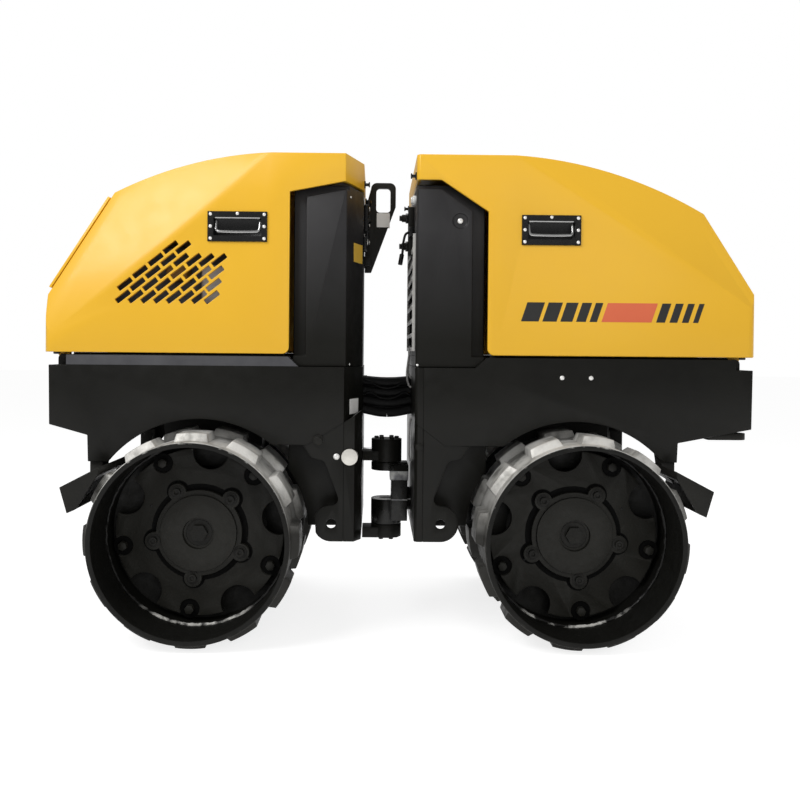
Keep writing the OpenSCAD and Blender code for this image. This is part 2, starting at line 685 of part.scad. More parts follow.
// Scrapers: a folded beam beyond each side of a drum, hung from the frame
scraper_in = drum_in + 6;
scraper_out = side_y - 8;
module scraper_profile() {
    // Outline in (outward, up) from the axle, for the outer side
    polygon([[228, 194], [327, 142], [308, 76], [290, 84], [306, 130], [232, 172]]);
}
module scraper_pair(step) both_sides() translate([axle_u, 0, axle_z]) {
    u = step[0] - 26;
    z = step[2] - axle_z;
    across(scraper_in, scraper_out) scraper_profile();
    across(scraper_out - 8, scraper_out) polygon([[228, 194], [327, 142], [308, 76], [284, 88], [232, 172]]);
    across(half - plate_t - 60, half - plate_t) polygon([[u - 20, z + 40], [u + 22, z + 40], [u + 22, z - 60], [u - 10, 178]]);
}
module inner_scraper() both_sides() translate([axle_u, 0, axle_z]) {
    across(scraper_in, inner_plate_y - seat) polygon([[-250, 158], [-242, 172], [-330, 118], [-322, 104]]);
    across(scraper_in + 60, scraper_in + 80) polygon([[-214, floor_z - axle_z - seat], [-262, floor_z - axle_z - seat],
        [-330, 118], [-322, 104], [-250, 158]]);
}
module front_scrapers() color(steel) at_front() {
    scraper_pair(front_step);
    inner_scraper();
}
module rear_scrapers() color(steel) at_rear() {
    scraper_pair(rear_step);
    inner_scraper();
}

// Steering arms and bearing housings of the front module
upper_arm = [452, 479];
lower_arm = [224, 254];
upper_housing = [448, 515];
lower_housing = [224, 262];
yoke_upper = [422, 446];
yoke_lower = [264, 338];
arm_half = 38;
module steer_arms() color(steel) at_front() {
    for (z = [upper_arm, lower_arm]) block([0, -arm_half, z[0]], [end_gap - seat, arm_half, z[1]]);
    for (z = [upper_housing, lower_housing]) translate([0, 0, z[0]]) cylinder(r = housing_r, h = z[1] - z[0]);
    translate([0, 0, yoke_upper[0]]) cylinder(r = pin_r, h = upper_housing[0] - yoke_upper[0] + 1);
    translate([0, 0, lower_housing[1] - 1]) cylinder(r = pin_r, h = yoke_lower[1] - lower_housing[1] + 1);
    for (k = [0 : 5]) rotate(k * 60) {
        translate([30, 0, upper_housing[1] - 1]) cylinder(r = 7, h = 8, $fn = 6);
        translate([30, 0, lower_housing[0] - 6]) cylinder(r = 7, h = 7, $fn = 6);
    }
}
module lock_pin() color(zinc) at_front() rod_y(lock_pin_u, lock_pin_z, lock_pin_r, -half, -half + 58);

// Yoke: turns on the steering pins and carries the swing shaft of the rear module
module yoke() color(steel) at_rear() {
    shaft_end = end_gap + bearing_len + 36;
    difference() {
        union() {
            for (z = [yoke_upper, yoke_lower]) translate([0, 0, z[0]]) cylinder(r = housing_r, h = z[1] - z[0]);
            block([0, -30, yoke_upper[0]], [62, 30, yoke_upper[1]]);
            block([14, -52, swing_z - 60], [end_gap - 9, 52, swing_z + 60]);
            block([26, -30, swing_z + 50], [end_gap - 9, 30, yoke_upper[1]]);
            block([10, -42, swing_z + 59], [end_gap - 6, 42, yoke_upper[1] - 6]);
            translate([14, 0, swing_z]) rotate([0, 90, 0]) cylinder(r = swing_r, h = shaft_end - 14);
            translate([shaft_end - 28, 0, swing_z]) rotate([0, 90, 0]) cylinder(r = swing_r + 16, h = 22);
            // Ear for the steering cylinder's rod
            translate([0, 0, cylinder_z - 34]) linear_extrude(14) union() {
                translate([0, steer_lever]) circle(20);
                translate([-20, 0]) square([40, steer_lever]);
            }
        }
        for (z = [yoke_upper, yoke_lower]) translate([0, 0, z[0] - 1])
            cylinder(r = pin_r + run_gap, h = z[1] - z[0] + 2);
    }
}

// Steering cylinder, its rod pin standing on the yoke's ear
rod_pin = [0, steer_lever];
cyl_turn = atan2(rod_pin[1] - barrel_eye[1], rod_pin[0] - barrel_eye[0]);
cyl_len = norm(rod_pin - barrel_eye);
tube_len = 111;
module on_cylinder() at_front() translate([barrel_eye[0], barrel_eye[1], cylinder_z]) rotate(cyl_turn) children();
module steer_barrel() color(steel) on_cylinder() {
    difference() {
        union() {
            translate([0, 0, -13]) cylinder(r = 20, h = 26);
            translate([14, 0, 0]) rotate([0, 90, 0]) cylinder(r = 12, h = 16);
            translate([26, 0, 0]) rotate([0, 90, 0]) cylinder(r = 23, h = tube_len - 12);
            translate([10 + tube_len, 0, 0]) rotate([0, 90, 0]) cylinder(r = 26, h = 14);
        }
        translate([0, 0, -14]) cylinder(r = 10 + run_gap, h = 28);
        translate([38, 0, 0]) rotate([0, 90, 0]) cylinder(r = 12.5 + run_gap, h = tube_len);
    }
}
module steer_rod() color(zinc) on_cylinder() {
    translate([78, 0, 0]) rotate([0, 90, 0]) cylinder(r = 12.5, h = cyl_len - 90);
    translate([cyl_len, 0, -12]) cylinder(r = 20, h = 24);
    translate([cyl_len, 0, -20 + seat]) cylinder(r = 9, h = 38);
}

// Hoses across the joint, one oval sleeve in two halves
hose_z = 646;
module hose_half(u1) translate([0, 0, hose_z]) rotate([0, 90, 0]) linear_extrude(u1) union() {
    translate([-32, 0]) circle(26);
    translate([32, 0]) circle(26);
    translate([-32, -26]) square([64, 52]);
}
module front_hoses() color(rubber) at_front() hose_half(end_gap - seat);
module rear_hoses() color(rubber) at_rear() translate([seat, 0, 0]) hose_half(end_gap - 2 * seat);

// Lifting eye on the front tower
eye_corner_r = 18;
eye_slot = [42, 72];
eye_slot_r = 10;
module rounded(size, r) {
    translate([r, 0]) square([size[0] - 2 * r, size[1]]);
    translate([0, r]) square([size[0], size[1] - 2 * r]);
    for (x = [r, size[0] - r], y = [r, size[1] - r]) translate([x, y]) circle(r);
}
module lifting_eye() color(steel) at_front() {
    u_out = -21;
    c = eye_corner_r;
    across(-eye_t / 2, eye_t / 2) difference() {
        union() {
            polygon([[u_out, eye_top - c], [u_out + c, eye_top], [u_out + eye_w - c, eye_top], [u_out + eye_w, eye_top - c],
                     [end_gap - 1, eye_top - 80], [end_gap - 1, eye_top - 267], [51, eye_top - 267], [u_out, eye_top - 70]]);
            for (u = [u_out + c, u_out + eye_w - c]) translate([u, eye_top - c]) circle(c);
        }
        translate([u_out + 16, eye_top - 16 - eye_slot[1]]) rounded(eye_slot, eye_slot_r);
    }
    for (z = [eye_top - 236, eye_top - 106]) block([end_gap - 20, -40, z - 14], [end_gap + 2 - seat, 40, z + 14]);
}

// Recovery lugs under the rear frame's outer end, inside its side plates
lug_len_u = 85;
lug_eye = [rear_frame_len - 29, half - plate_t - seat - 22];
module rear_tie_lugs() color(steel) at_rear() both_sides() translate([0, 0, frame_low - 30]) difference() {
    union() {
        translate(lug_eye) cylinder(r = 22, h = 18);
        block([lug_eye[0] - lug_len_u, lug_eye[1] - 22, 0], [lug_eye[0], lug_eye[1] + 22, 18]);
    }
    translate([lug_eye[0], lug_eye[1], -1]) cylinder(r = tie_hole_r, h = 20);
}

// Valve block on the rear tower's inner end
module rear_valves() color(zinc) at_rear() {
    for (z = [tower_top - 138, tower_top - 56]) translate([end_gap - 33, -60, z]) rotate([0, 90, 0]) cylinder(r = 11, h = 30);
    block([end_gap - 14, -88, tower_top - 168], [end_gap + 2 - seat, -32, tower_top - 26]);
}

front_frame();
front_sides();
front_end();
front_tower();
front_engine();
front_drive();
front_scrapers();
lifting_eye();
steer_arms();
lock_pin();
front_hinges();
front_hood();
front_nose();
front_handles();
front_left_drum();
front_right_drum();
front_left_disc();
front_right_disc();
front_buffers();
front_shaft();
yoke();
steer_barrel();
steer_rod();
front_hoses();
rear_hoses();
rear_frame();
rear_sides();
rear_end();
rear_tower();
rear_grille();
rear_tank();
rear_drive();
rear_scrapers();
rear_tie_lugs();
rear_hinges();
rear_hood();
rear_handles();
rear_left_drum();
rear_right_drum();
rear_left_disc();
rear_right_disc();
rear_buffers();
rear_shaft();
rear_valves();
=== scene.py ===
import bpy, json, math
from mathutils import Matrix, Vector


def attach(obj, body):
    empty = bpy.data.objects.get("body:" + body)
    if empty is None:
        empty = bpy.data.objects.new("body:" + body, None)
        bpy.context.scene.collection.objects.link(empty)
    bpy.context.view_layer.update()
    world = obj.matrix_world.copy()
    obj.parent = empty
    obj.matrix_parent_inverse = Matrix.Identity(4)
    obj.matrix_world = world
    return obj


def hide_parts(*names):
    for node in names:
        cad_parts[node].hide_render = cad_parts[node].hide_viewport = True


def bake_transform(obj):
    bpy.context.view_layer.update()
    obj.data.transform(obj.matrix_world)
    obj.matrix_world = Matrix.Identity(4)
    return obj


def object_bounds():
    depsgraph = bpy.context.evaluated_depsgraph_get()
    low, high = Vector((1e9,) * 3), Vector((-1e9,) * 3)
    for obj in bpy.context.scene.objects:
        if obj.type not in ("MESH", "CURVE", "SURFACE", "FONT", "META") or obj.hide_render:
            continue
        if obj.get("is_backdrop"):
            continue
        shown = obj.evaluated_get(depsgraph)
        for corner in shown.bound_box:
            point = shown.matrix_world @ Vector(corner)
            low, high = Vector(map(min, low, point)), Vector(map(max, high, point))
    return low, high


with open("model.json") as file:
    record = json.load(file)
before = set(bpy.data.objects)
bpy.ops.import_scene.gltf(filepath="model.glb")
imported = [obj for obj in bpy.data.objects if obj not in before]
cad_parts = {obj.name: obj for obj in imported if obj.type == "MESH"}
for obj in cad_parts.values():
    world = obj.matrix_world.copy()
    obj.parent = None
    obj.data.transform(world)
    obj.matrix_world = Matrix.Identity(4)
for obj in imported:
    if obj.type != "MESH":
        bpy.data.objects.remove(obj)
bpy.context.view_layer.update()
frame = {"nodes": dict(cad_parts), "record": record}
nodes = frame["nodes"]
record = frame["record"]
bodyOf = {node: body for body, members in record["behaviour"]["bodies"].items() for node in members}
steerX = -0.0335  # the steering axis, from the machine's centre
outward = {"front": -1, "rear": 1}
axle = {"out": 508, "up": 280}  # the drums' axles in mm, from the steering axis and the ground
both = (-1, 1)


# A point given in millimetres: outward from the steering axis, across, up
def at(module, u, y, z):
    return Vector((steerX + outward[module] * u / 1000, y / 1000, z / 1000))


def turnTo(direction):
    return Vector(direction).to_track_quat("Z", "Y").to_matrix().to_4x4()


# Camera, fitted to the photograph
view = {"place": (-0.0674, -2.7817, 0.7751), "yaw": -0.0125, "pitch": -0.0094, "roll": 0.009,
        "lens": 41.83, "shift": (0.0155, -0.05)}


def makeCamera():
    data = bpy.data.cameras.new("viewCamera")
    data.lens, data.sensor_width = view["lens"], 36
    data.shift_x, data.shift_y = view["shift"]
    camera = bpy.data.objects.new("viewCamera", data)
    bpy.context.collection.objects.link(camera)
    turn = (Matrix.Rotation(view["yaw"], 4, "Z") @ Matrix.Rotation(math.pi / 2 + view["pitch"], 4, "X")
            @ Matrix.Rotation(view["roll"], 4, "Z"))
    camera.matrix_world = Matrix.Translation(view["place"]) @ turn
    bpy.context.scene.camera = camera


# Light: a white studio that the camera and the gloss see, with softer light on the object
light = {"world": 0.42, "gloss": 0.42, "floorShade": 0.42, "floorGlow": 0.8, "key": 98, "fill": 46,
         "top": 30, "side": 34}


# Background strength for what the camera, the gloss and the glass see
def whiteFor(tree, soft):
    path = tree.nodes.new("ShaderNodeLightPath")
    clear = tree.nodes.new("ShaderNodeMath")
    clear.operation = "MAXIMUM"
    tree.links.new(path.outputs["Is Camera Ray"], clear.inputs[0])
    tree.links.new(path.outputs["Is Transmission Ray"], clear.inputs[1])
    gloss = tree.nodes.new("ShaderNodeMath")
    gloss.operation = "MULTIPLY"
    gloss.inputs[1].default_value = light["gloss"]
    tree.links.new(path.outputs["Is Glossy Ray"], gloss.inputs[0])
    most = tree.nodes.new("ShaderNodeMath")
    most.operation = "MAXIMUM"
    tree.links.new(clear.outputs[0], most.inputs[0])
    tree.links.new(gloss.outputs[0], most.inputs[1])
    level = tree.nodes.new("ShaderNodeMath")
    level.operation = "MAXIMUM"
    level.inputs[1].default_value = soft
    tree.links.new(most.outputs[0], level.inputs[0])
    return level.outputs[0]


def makeStudio():
    scene = bpy.context.scene
    scene.view_settings.view_transform = "Standard"
    world = bpy.data.worlds.new("studio")
    scene.world = world
    world.use_nodes = True
    tree = world.node_tree
    tree.nodes.clear()
    back = tree.nodes.new("ShaderNodeBackground")
    back.inputs["Color"].default_value = (1, 1, 1, 1)
    out = tree.nodes.new("ShaderNodeOutputWorld")
    tree.links.new(whiteFor(tree, light["world"]), back.inputs["Strength"])
    tree.links.new(back.outputs[0], out.inputs["Surface"])
    lamps = {"keyLamp": ((-2.4, -2.3, 3.3), 1.8, light["key"]),
             "fillLamp": ((0.9, -3.6, 1.7), 2.2, light["fill"]),
             "topLamp": ((0.2, 1.2, 3.6), 2.4, light["top"]),
             "sideLamp": ((3.6, 0.4, 1.9), 2.2, light["side"])}
    for name, (place, size, power) in lamps.items():
        data = bpy.data.lights.new(name, "AREA")
        data.size, data.energy = size, power
        lamp = bpy.data.objects.new(name, data)
        bpy.context.collection.objects.link(lamp)
        lamp.location = place
        lamp.visible_glossy = name in ("keyLamp", "topLamp")
        lamp.rotation_euler = (Vector((0, 0, 0.7)) - Vector(place)).to_track_quat("-Z", "Y").to_euler()
    bpy.ops.mesh.primitive_plane_add(size=60, location=(0, 0, 0))
    floor = bpy.context.object
    floor.name = "studioFloor"
    paint = bpy.data.materials.new("floorPaint")
    paint.use_nodes = True
    tree = paint.node_tree
    tree.nodes.clear()
    shade = tree.nodes.new("ShaderNodeBsdfDiffuse")
    shade.inputs["Color"].default_value = (light["floorShade"],) * 3 + (1,)
    glow = tree.nodes.new("ShaderNodeEmission")
    path = tree.nodes.new("ShaderNodeLightPath")
    seen = tree.nodes.new("ShaderNodeMath")
    seen.operation = "MAXIMUM"
    tree.links.new(path.outputs["Is Camera Ray"], seen.inputs[0])
    tree.links.new(path.outputs["Is Glossy Ray"], seen.inputs[1])
    clear = tree.nodes.new("ShaderNodeMath")
    clear.operation = "MAXIMUM"
    tree.links.new(seen.outputs[0], clear.inputs[0])
    tree.links.new(path.outputs["Is Transmission Ray"], clear.inputs[1])
    power = tree.nodes.new("ShaderNodeMath")
    power.operation = "MULTIPLY"
    power.inputs[1].default_value = light["floorGlow"]
    tree.links.new(clear.outputs[0], power.inputs[0])
    tree.links.new(power.outputs[0], glow.inputs["Strength"])
    add = tree.nodes.new("ShaderNodeAddShader")
    out = tree.nodes.new("ShaderNodeOutputMaterial")
    tree.links.new(shade.outputs[0], add.inputs[0])
    tree.links.new(glow.outputs[0], add.inputs[1])
    tree.links.new(add.outputs[0], out.inputs["Surface"])
    floor.data.materials.append(paint)
    floor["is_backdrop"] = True


makeCamera()
makeStudio()
print("camera and studio ready")


# Materials
def newMaterial(name, metal=0.0, coat=0.0, shine=0.5):
    material = bpy.data.materials.new(name)
    material.use_nodes = True
    tree = material.node_tree
    tree.nodes.clear()
    shader = tree.nodes.new("ShaderNodeBsdfPrincipled")
    shader.inputs["Metallic"].default_value = metal
    shader.inputs["Specular IOR Level"].default_value = shine
    shader.inputs["Coat Weight"].default_value = coat
    shader.inputs["Coat Roughness"].default_value = 0.12
    out = tree.nodes.new("ShaderNodeOutputMaterial")
    tree.links.new(shader.outputs[0], out.inputs["Surface"])
    place = tree.nodes.new("ShaderNodeTexCoord").outputs["Object"]
    return material, tree, shader, place


def noise(tree, place, scale, detail=3.0):
    node = tree.nodes.new("ShaderNodeTexNoise")
    node.inputs["Scale"].default_value = scale
    node.inputs["Detail"].default_value = detail
    tree.links.new(place, node.inputs["Vector"])
    return node.outputs["Fac"]


def remap(tree, value, fromLow, fromHigh, toLow=0.0, toHigh=1.0):
    node = tree.nodes.new("ShaderNodeMapRange")
    for socket, number in zip(("From Min", "From Max", "To Min", "To Max"),
                              (fromLow, fromHigh, toLow, toHigh)):
        node.inputs[socket].default_value = number
    tree.links.new(value, node.inputs["Value"])
    return node.outputs["Result"]


def blendColour(tree, amount, first, second):
    node = tree.nodes.new("ShaderNodeMix")
    node.data_type = "RGBA"
    tree.links.new(amount, node.inputs[0])
    for socket, colour in ((6, first), (7, second)):
        if isinstance(colour, tuple):
            node.inputs[socket].default_value = colour + (1,)
        else:
            tree.links.new(colour, node.inputs[socket])
    return node.outputs[2]


def combine(tree, operation, first, second):
    node = tree.nodes.new("ShaderNodeMath")
    node.operation = operation
    for socket, value in enumerate((first, second)):
        if isinstance(value, (int, float)):
            node.inputs[socket].default_value = value
        else:
            tree.links.new(value, node.inputs[socket])
    return node.outputs[0]


def grain(tree, shader, height, depth):
    node = tree.nodes.new("ShaderNodeBump")
    node.inputs["Distance"].default_value = depth
    tree.links.new(height, node.inputs["Height"])
    tree.links.new(node.outputs[0], shader.inputs["Normal"])


# Two shades in soft patches, an uneven gloss and a fine grain
def coated(name, first, second, gloss, patch=5.0, fine=420.0, depth=0.0002, metal=0.0, coat=0.0, shine=0.5):
    material, tree, shader, place = newMaterial(name, metal, coat, shine)
    patches = remap(tree, noise(tree, place, patch), 0.25, 0.75)
    tree.links.new(blendColour(tree, patches, first, second), shader.inputs["Base Color"])
    tree.links.new(remap(tree, noise(tree, place, patch * 9, 4.0), 0.3, 0.7, gloss[0], gloss[1]),
                   shader.inputs["Roughness"])
    grain(tree, shader, noise(tree, place, fine, 2.0), depth)
    return material


def heightOf(tree, place):
    node = tree.nodes.new("ShaderNodeSeparateXYZ")
    tree.links.new(place, node.inputs[0])
    return node.outputs["Z"]


paintColour = {"yellow": (0.80, 0.455, 0.026), "yellowDeep": (0.775, 0.430, 0.023),
               "black": (0.0052, 0.0051, 0.0042), "blackSoft": (0.0080, 0.0078, 0.0064),
               "satin": (0.015, 0.0143, 0.0150), "satinSoft": (0.021, 0.0202, 0.021),
               "worn": (0.50, 0.49, 0.46), "wornDark": (0.20, 0.195, 0.18)}


# Satin black of the towers, a little darker towards the foot
def towerPaint():
    material, tree, shader, place = newMaterial("satinBlack", shine=0.35)
    low = remap(tree, heightOf(tree, place), 0.80, 1.10)
    tree.links.new(remap(tree, low, 0.0, 1.0, 0.12, 0.32), shader.inputs["Specular IOR Level"])
    body = blendColour(tree, remap(tree, noise(tree, place, 6.0), 0.3, 0.7), paintColour["satin"],
                       paintColour["satinSoft"])
    tree.links.new(blendColour(tree, low, paintColour["blackSoft"], body), shader.inputs["Base Color"])
    tree.links.new(remap(tree, noise(tree, place, 30.0), 0.3, 0.7, 0.36, 0.48), shader.inputs["Roughness"])
    grain(tree, shader, noise(tree, place, 900.0, 2.0), 0.0003)
    return material


# Black paint on the drum's inside, bare steel on the shell and the lugs, where the ground has polished it,
# with painted shade and sheen by height
def drumSteel(name, axleX):
    material, tree, shader, place = newMaterial(name, shine=0.2)
    flat = tree.nodes.new("ShaderNodeMapping")
    flat.inputs["Scale"].default_value = (1, 0, 1)
    flat.inputs["Location"].default_value = (-axleX, 0, -axle["up"] / 1000)
    tree.links.new(place, flat.inputs["Vector"])
    length = tree.nodes.new("ShaderNodeVectorMath")
    length.operation = "LENGTH"
    tree.links.new(flat.outputs[0], length.inputs[0])
    radius = length.outputs["Value"]
    chips = remap(tree, noise(tree, place, 38.0, 5.0), 0.40, 0.62)
    dust = remap(tree, noise(tree, place, 12.0, 5.0), 0.36, 0.60)
    bareSteelAndPaintedLight = blendColour(tree, chips, paintColour["wornDark"], paintColour["worn"])
    bareSteelAndPaintedLight = blendColour(tree, dust, bareSteelAndPaintedLight, (0.62, 0.61, 0.58))
    # Painted shade: the shell and lugs go near black below 0.30 m and show bare steel only above 0.44 m, as
    # if lit from above
    height = remap(tree, heightOf(tree, place), 0.30, 0.44)
    bareSteelAndPaintedLight = blendColour(tree, height, (0.030, 0.029, 0.026), bareSteelAndPaintedLight)
    rim = remap(tree, radius, 0.2574, 0.2592)
    ring = combine(tree, "MULTIPLY", remap(tree, radius, 0.2545, 0.2560),
                   remap(tree, noise(tree, place, 60.0, 5.0), 0.56, 0.66))
    mask = combine(tree, "MAXIMUM", rim, combine(tree, "MULTIPLY", ring, 0.5))
    tree.links.new(blendColour(tree, mask, paintColour["black"], bareSteelAndPaintedLight), shader.inputs["Base Color"])
    # Painted sheen: only the upper shell and lugs are made partly metallic
    tree.links.new(combine(tree, "MULTIPLY", combine(tree, "MULTIPLY", rim, height), 0.35),
                   shader.inputs["Metallic"])
    tree.links.new(remap(tree, noise(tree, place, 44.0, 4.0), 0.3, 0.7, 0.42, 0.62),
                   shader.inputs["Roughness"])
    grain(tree, shader, noise(tree, place, 160.0, 5.0), 0.0009)
    return material


# Frame paint with a painted sheen on the ledge under the front hood
def ledgedPaint():
    material, tree, shader, place = newMaterial("ledgeSheenPaint", shine=0.17)
    height = heightOf(tree, place)
    # Painted sheen: the strip from 0.7325 to 0.759 m up is painted grey
    ledgeSheen = combine(tree, "MULTIPLY", remap(tree, height, 0.7325, 0.7335),
                    remap(tree, height, 0.7590, 0.7580))
    body = blendColour(tree, remap(tree, noise(tree, place, 3.5), 0.3, 0.7), paintColour["black"],
                       paintColour["blackSoft"])
    sheenGrey = blendColour(tree, remap(tree, noise(tree, place, 16.0), 0.3, 0.7), (0.055, 0.055, 0.060),
                       (0.075, 0.075, 0.080))
    tree.links.new(blendColour(tree, ledgeSheen, body, sheenGrey), shader.inputs["Base Color"])
    tree.links.new(remap(tree, noise(tree, place, 31.0, 4.0), 0.3, 0.7, 0.28, 0.40),
                   shader.inputs["Roughness"])
    grain(tree, shader, noise(tree, place, 420.0, 2.0), 0.00025)
    return material


# Weld bead: painted over round the drum, with a painted highlight that turns it pale near the drum's bottom
def weldSteel():
    material, tree, shader, place = newMaterial("weldSteel", shine=0.25)
    # Painted highlight: pale steel in patches, only below about 0.06 to 0.09 m
    bareSteelAndPaintedLight = combine(tree, "MULTIPLY", remap(tree, heightOf(tree, place), 0.092, 0.062),
                   remap(tree, noise(tree, place, 26.0), 0.40, 0.52))
    tree.links.new(blendColour(tree, bareSteelAndPaintedLight, (0.0075, 0.0072, 0.0066), (0.50, 0.49, 0.46)),
                   shader.inputs["Base Color"])
    tree.links.new(remap(tree, noise(tree, place, 90.0), 0.3, 0.7, 0.32, 0.5), shader.inputs["Roughness"])
    grain(tree, shader, noise(tree, place, 240.0, 4.0), 0.0008)
    return material


# Black casting with painted highlights: pale bands on the top of the lower housing and on the shoulder over
# it
def yokeHighlightPaint():
    material, tree, shader, place = newMaterial("yokeHighlightPaint", shine=0.35)
    height = heightOf(tree, place)
    # Painted highlight: the shoulder band and the housing top are painted pale grey to near white
    shoulder = combine(tree, "MULTIPLY", remap(tree, height, 0.3956, 0.3964),
                       remap(tree, height, 0.4216, 0.4210))
    ring = combine(tree, "MULTIPLY", remap(tree, height, 0.3366, 0.3372),
                   remap(tree, height, 0.3400, 0.3390))
    body = blendColour(tree, remap(tree, noise(tree, place, 9.0), 0.3, 0.7), paintColour["black"],
                       paintColour["blackSoft"])
    bright = blendColour(tree, remap(tree, noise(tree, place, 34.0, 4.0), 0.4, 0.6), (0.30, 0.30, 0.32),
                         (0.80, 0.80, 0.78))
    tree.links.new(blendColour(tree, combine(tree, "MAXIMUM", shoulder, ring), body, bright),
                   shader.inputs["Base Color"])
    tree.links.new(remap(tree, noise(tree, place, 60.0), 0.3, 0.7, 0.22, 0.40), shader.inputs["Roughness"])
    grain(tree, shader, noise(tree, place, 300.0, 3.0), 0.0004)
    return material


yellowPaint = coated("yellowPaint", paintColour["yellow"], paintColour["yellowDeep"], (0.30, 0.40),
                     patch=2.2, fine=240.0, depth=0.00012, coat=0.12, shine=0.32)
blackPaint = coated("blackPaint", paintColour["black"], paintColour["blackSoft"], (0.30, 0.42), patch=3.5,
                    fine=420.0, depth=0.00025, shine=0.17)
castBlack = coated("castBlack", (0.0075, 0.0073, 0.0062), (0.0125, 0.012, 0.0100), (0.40, 0.55), patch=14.0,
                   fine=180.0, depth=0.0006, shine=0.2)
discBlack = coated("discBlack", (0.0130, 0.0125, 0.0102), (0.0170, 0.0165, 0.0138), (0.42, 0.56), patch=9.0,
                   fine=200.0, depth=0.0005, shine=0.22)
# Near-black for the discs of painted shadow on the drum discs
paintedShadowBlack = coated("paintedShadowBlack", (0.0016, 0.0016, 0.0015), (0.0024, 0.0024, 0.0022), (0.6, 0.75),
                     patch=20.0, fine=200.0, shine=0.08)
satinBlack = towerPaint()
ledgeSheenPaint = ledgedPaint()
blackPlastic = coated("blackPlastic", (0.005, 0.005, 0.005), (0.009, 0.009, 0.009), (0.22, 0.32),
                      patch=20.0, fine=700.0, depth=0.0001, shine=0.3)
rubber = coated("mountRubber", (0.006, 0.006, 0.006), (0.010, 0.0095, 0.009), (0.62, 0.78), patch=22.0,
                fine=350.0, depth=0.0004)
hoseRubber = coated("hoseRubber", (0.0035, 0.0035, 0.0035), (0.0060, 0.0060, 0.0060), (0.42, 0.56),
                    patch=25.0, fine=600.0, depth=0.0002, shine=0.15)
zinc = coated("zincPlate", (0.62, 0.60, 0.55), (0.74, 0.72, 0.67), (0.30, 0.46), patch=60.0, fine=240.0,
              depth=0.0004, metal=0.55)
brightSteel = coated("brightSteel", (0.80, 0.79, 0.76), (0.90, 0.89, 0.87), (0.20, 0.32), patch=50.0,
                     fine=300.0, metal=0.4)
chrome = coated("chromeRod", (0.66, 0.66, 0.68), (0.76, 0.76, 0.78), (0.07, 0.13), patch=30.0, fine=800.0,
                depth=0.00003, metal=1.0)
plateWhite = coated("plateWhite", (0.84, 0.83, 0.80), (0.89, 0.88, 0.85), (0.35, 0.5), patch=30.0,
                    fine=500.0, depth=0.0001)
plateYellow = coated("plateYellow", (0.80, 0.50, 0.07), (0.76, 0.47, 0.06), (0.35, 0.5), patch=30.0,
                     fine=500.0, depth=0.0001)
markBlack = coated("markBlack", (0.010, 0.010, 0.009), (0.014, 0.014, 0.013), (0.30, 0.40), patch=12.0,
                   fine=700.0, depth=0.00005)
markRed = coated("markRed", (0.66, 0.125, 0.045), (0.62, 0.11, 0.04), (0.30, 0.40), patch=12.0, fine=700.0,
                 depth=0.00005)
paleCable = coated("paleCable", (0.42, 0.41, 0.40), (0.55, 0.54, 0.52), (0.35, 0.5), patch=40.0, fine=600.0)
# Pale grey of the guard bars: painted highlight of grazing light
guardHighlightGrey = coated("guardHighlightGrey", (0.50, 0.49, 0.47), (0.60, 0.59, 0.56), (0.38, 0.5), patch=16.0, fine=400.0)
engineGrey = coated("engineGrey", (0.075, 0.080, 0.085), (0.10, 0.105, 0.11), (0.42, 0.58), patch=10.0,
                    fine=160.0, depth=0.0006)
alloy = coated("castAlloy", (0.42, 0.42, 0.42), (0.52, 0.52, 0.52), (0.38, 0.52), patch=22.0, fine=220.0,
               depth=0.0006, metal=0.6)
lensClear = coated("lampLens", (0.62, 0.62, 0.60), (0.72, 0.72, 0.70), (0.08, 0.14), patch=40.0, fine=900.0,
                   depth=0.00004)
frontDrumSteel = drumSteel("frontDrumSteel", steerX - axle["out"] / 1000)
rearDrumSteel = drumSteel("rearDrumSteel", steerX + axle["out"] / 1000)
beadSteel = weldSteel()
handleSteel = coated("handleSteel", (0.30, 0.30, 0.30), (0.42, 0.42, 0.41), (0.16, 0.26), patch=20.0,
                     fine=700.0, depth=0.0001, metal=0.9)
ochre = coated("ochreCover", (0.20, 0.105, 0.022), (0.16, 0.085, 0.020), (0.45, 0.6), patch=20.0,
               fine=300.0)
yokeBlack = yokeHighlightPaint()
print("materials ready")


# Modelling helpers
def deselectAll():
    for obj in bpy.context.selected_objects:
        obj.select_set(False)


def makeActive(obj):
    deselectAll()
    obj.select_set(True)
    bpy.context.view_layer.objects.active = obj


def editAll(obj):
    makeActive(obj)
    bpy.ops.object.mode_set(mode="EDIT")
    bpy.ops.mesh.select_all(action="SELECT")


def endEdit():
    bpy.ops.object.mode_set(mode="OBJECT")


def selectFaces(obj, wanted):
    makeActive(obj)
    bpy.ops.object.mode_set(mode="EDIT")
    bpy.ops.mesh.select_mode(type="FACE")
    bpy.ops.mesh.select_all(action="DESELECT")
    bpy.ops.object.mode_set(mode="OBJECT")
    for face in obj.data.polygons:
        face.select = bool(wanted(face))
    bpy.ops.object.mode_set(mode="EDIT")


def selectPoints(obj, wanted):
    makeActive(obj)
    bpy.ops.object.mode_set(mode="EDIT")
    bpy.ops.mesh.select_mode(type="VERT")
    bpy.ops.mesh.select_all(action="DESELECT")
    bpy.ops.object.mode_set(mode="OBJECT")
    for point in obj.data.vertices:
        point.select = bool(wanted(point.co))
    bpy.ops.object.mode_set(mode="EDIT")


def roundEdges(obj, width, segments=2, angle=30, clamp=True):
    makeActive(obj)
    modifier = obj.modifiers.new("edges", "BEVEL")
    modifier.width, modifier.segments = width / 1000, segments
    modifier.limit_method, modifier.angle_limit = "ANGLE", math.radians(angle)
    modifier.use_clamp_overlap = clamp
    bpy.ops.object.modifier_apply(modifier=modifier.name)
    bpy.ops.object.shade_smooth_by_angle(angle=math.radians(32))


def bakePlace(obj):
    obj.data.transform(obj.matrix_basis)
    obj.matrix_basis = Matrix.Identity(4)


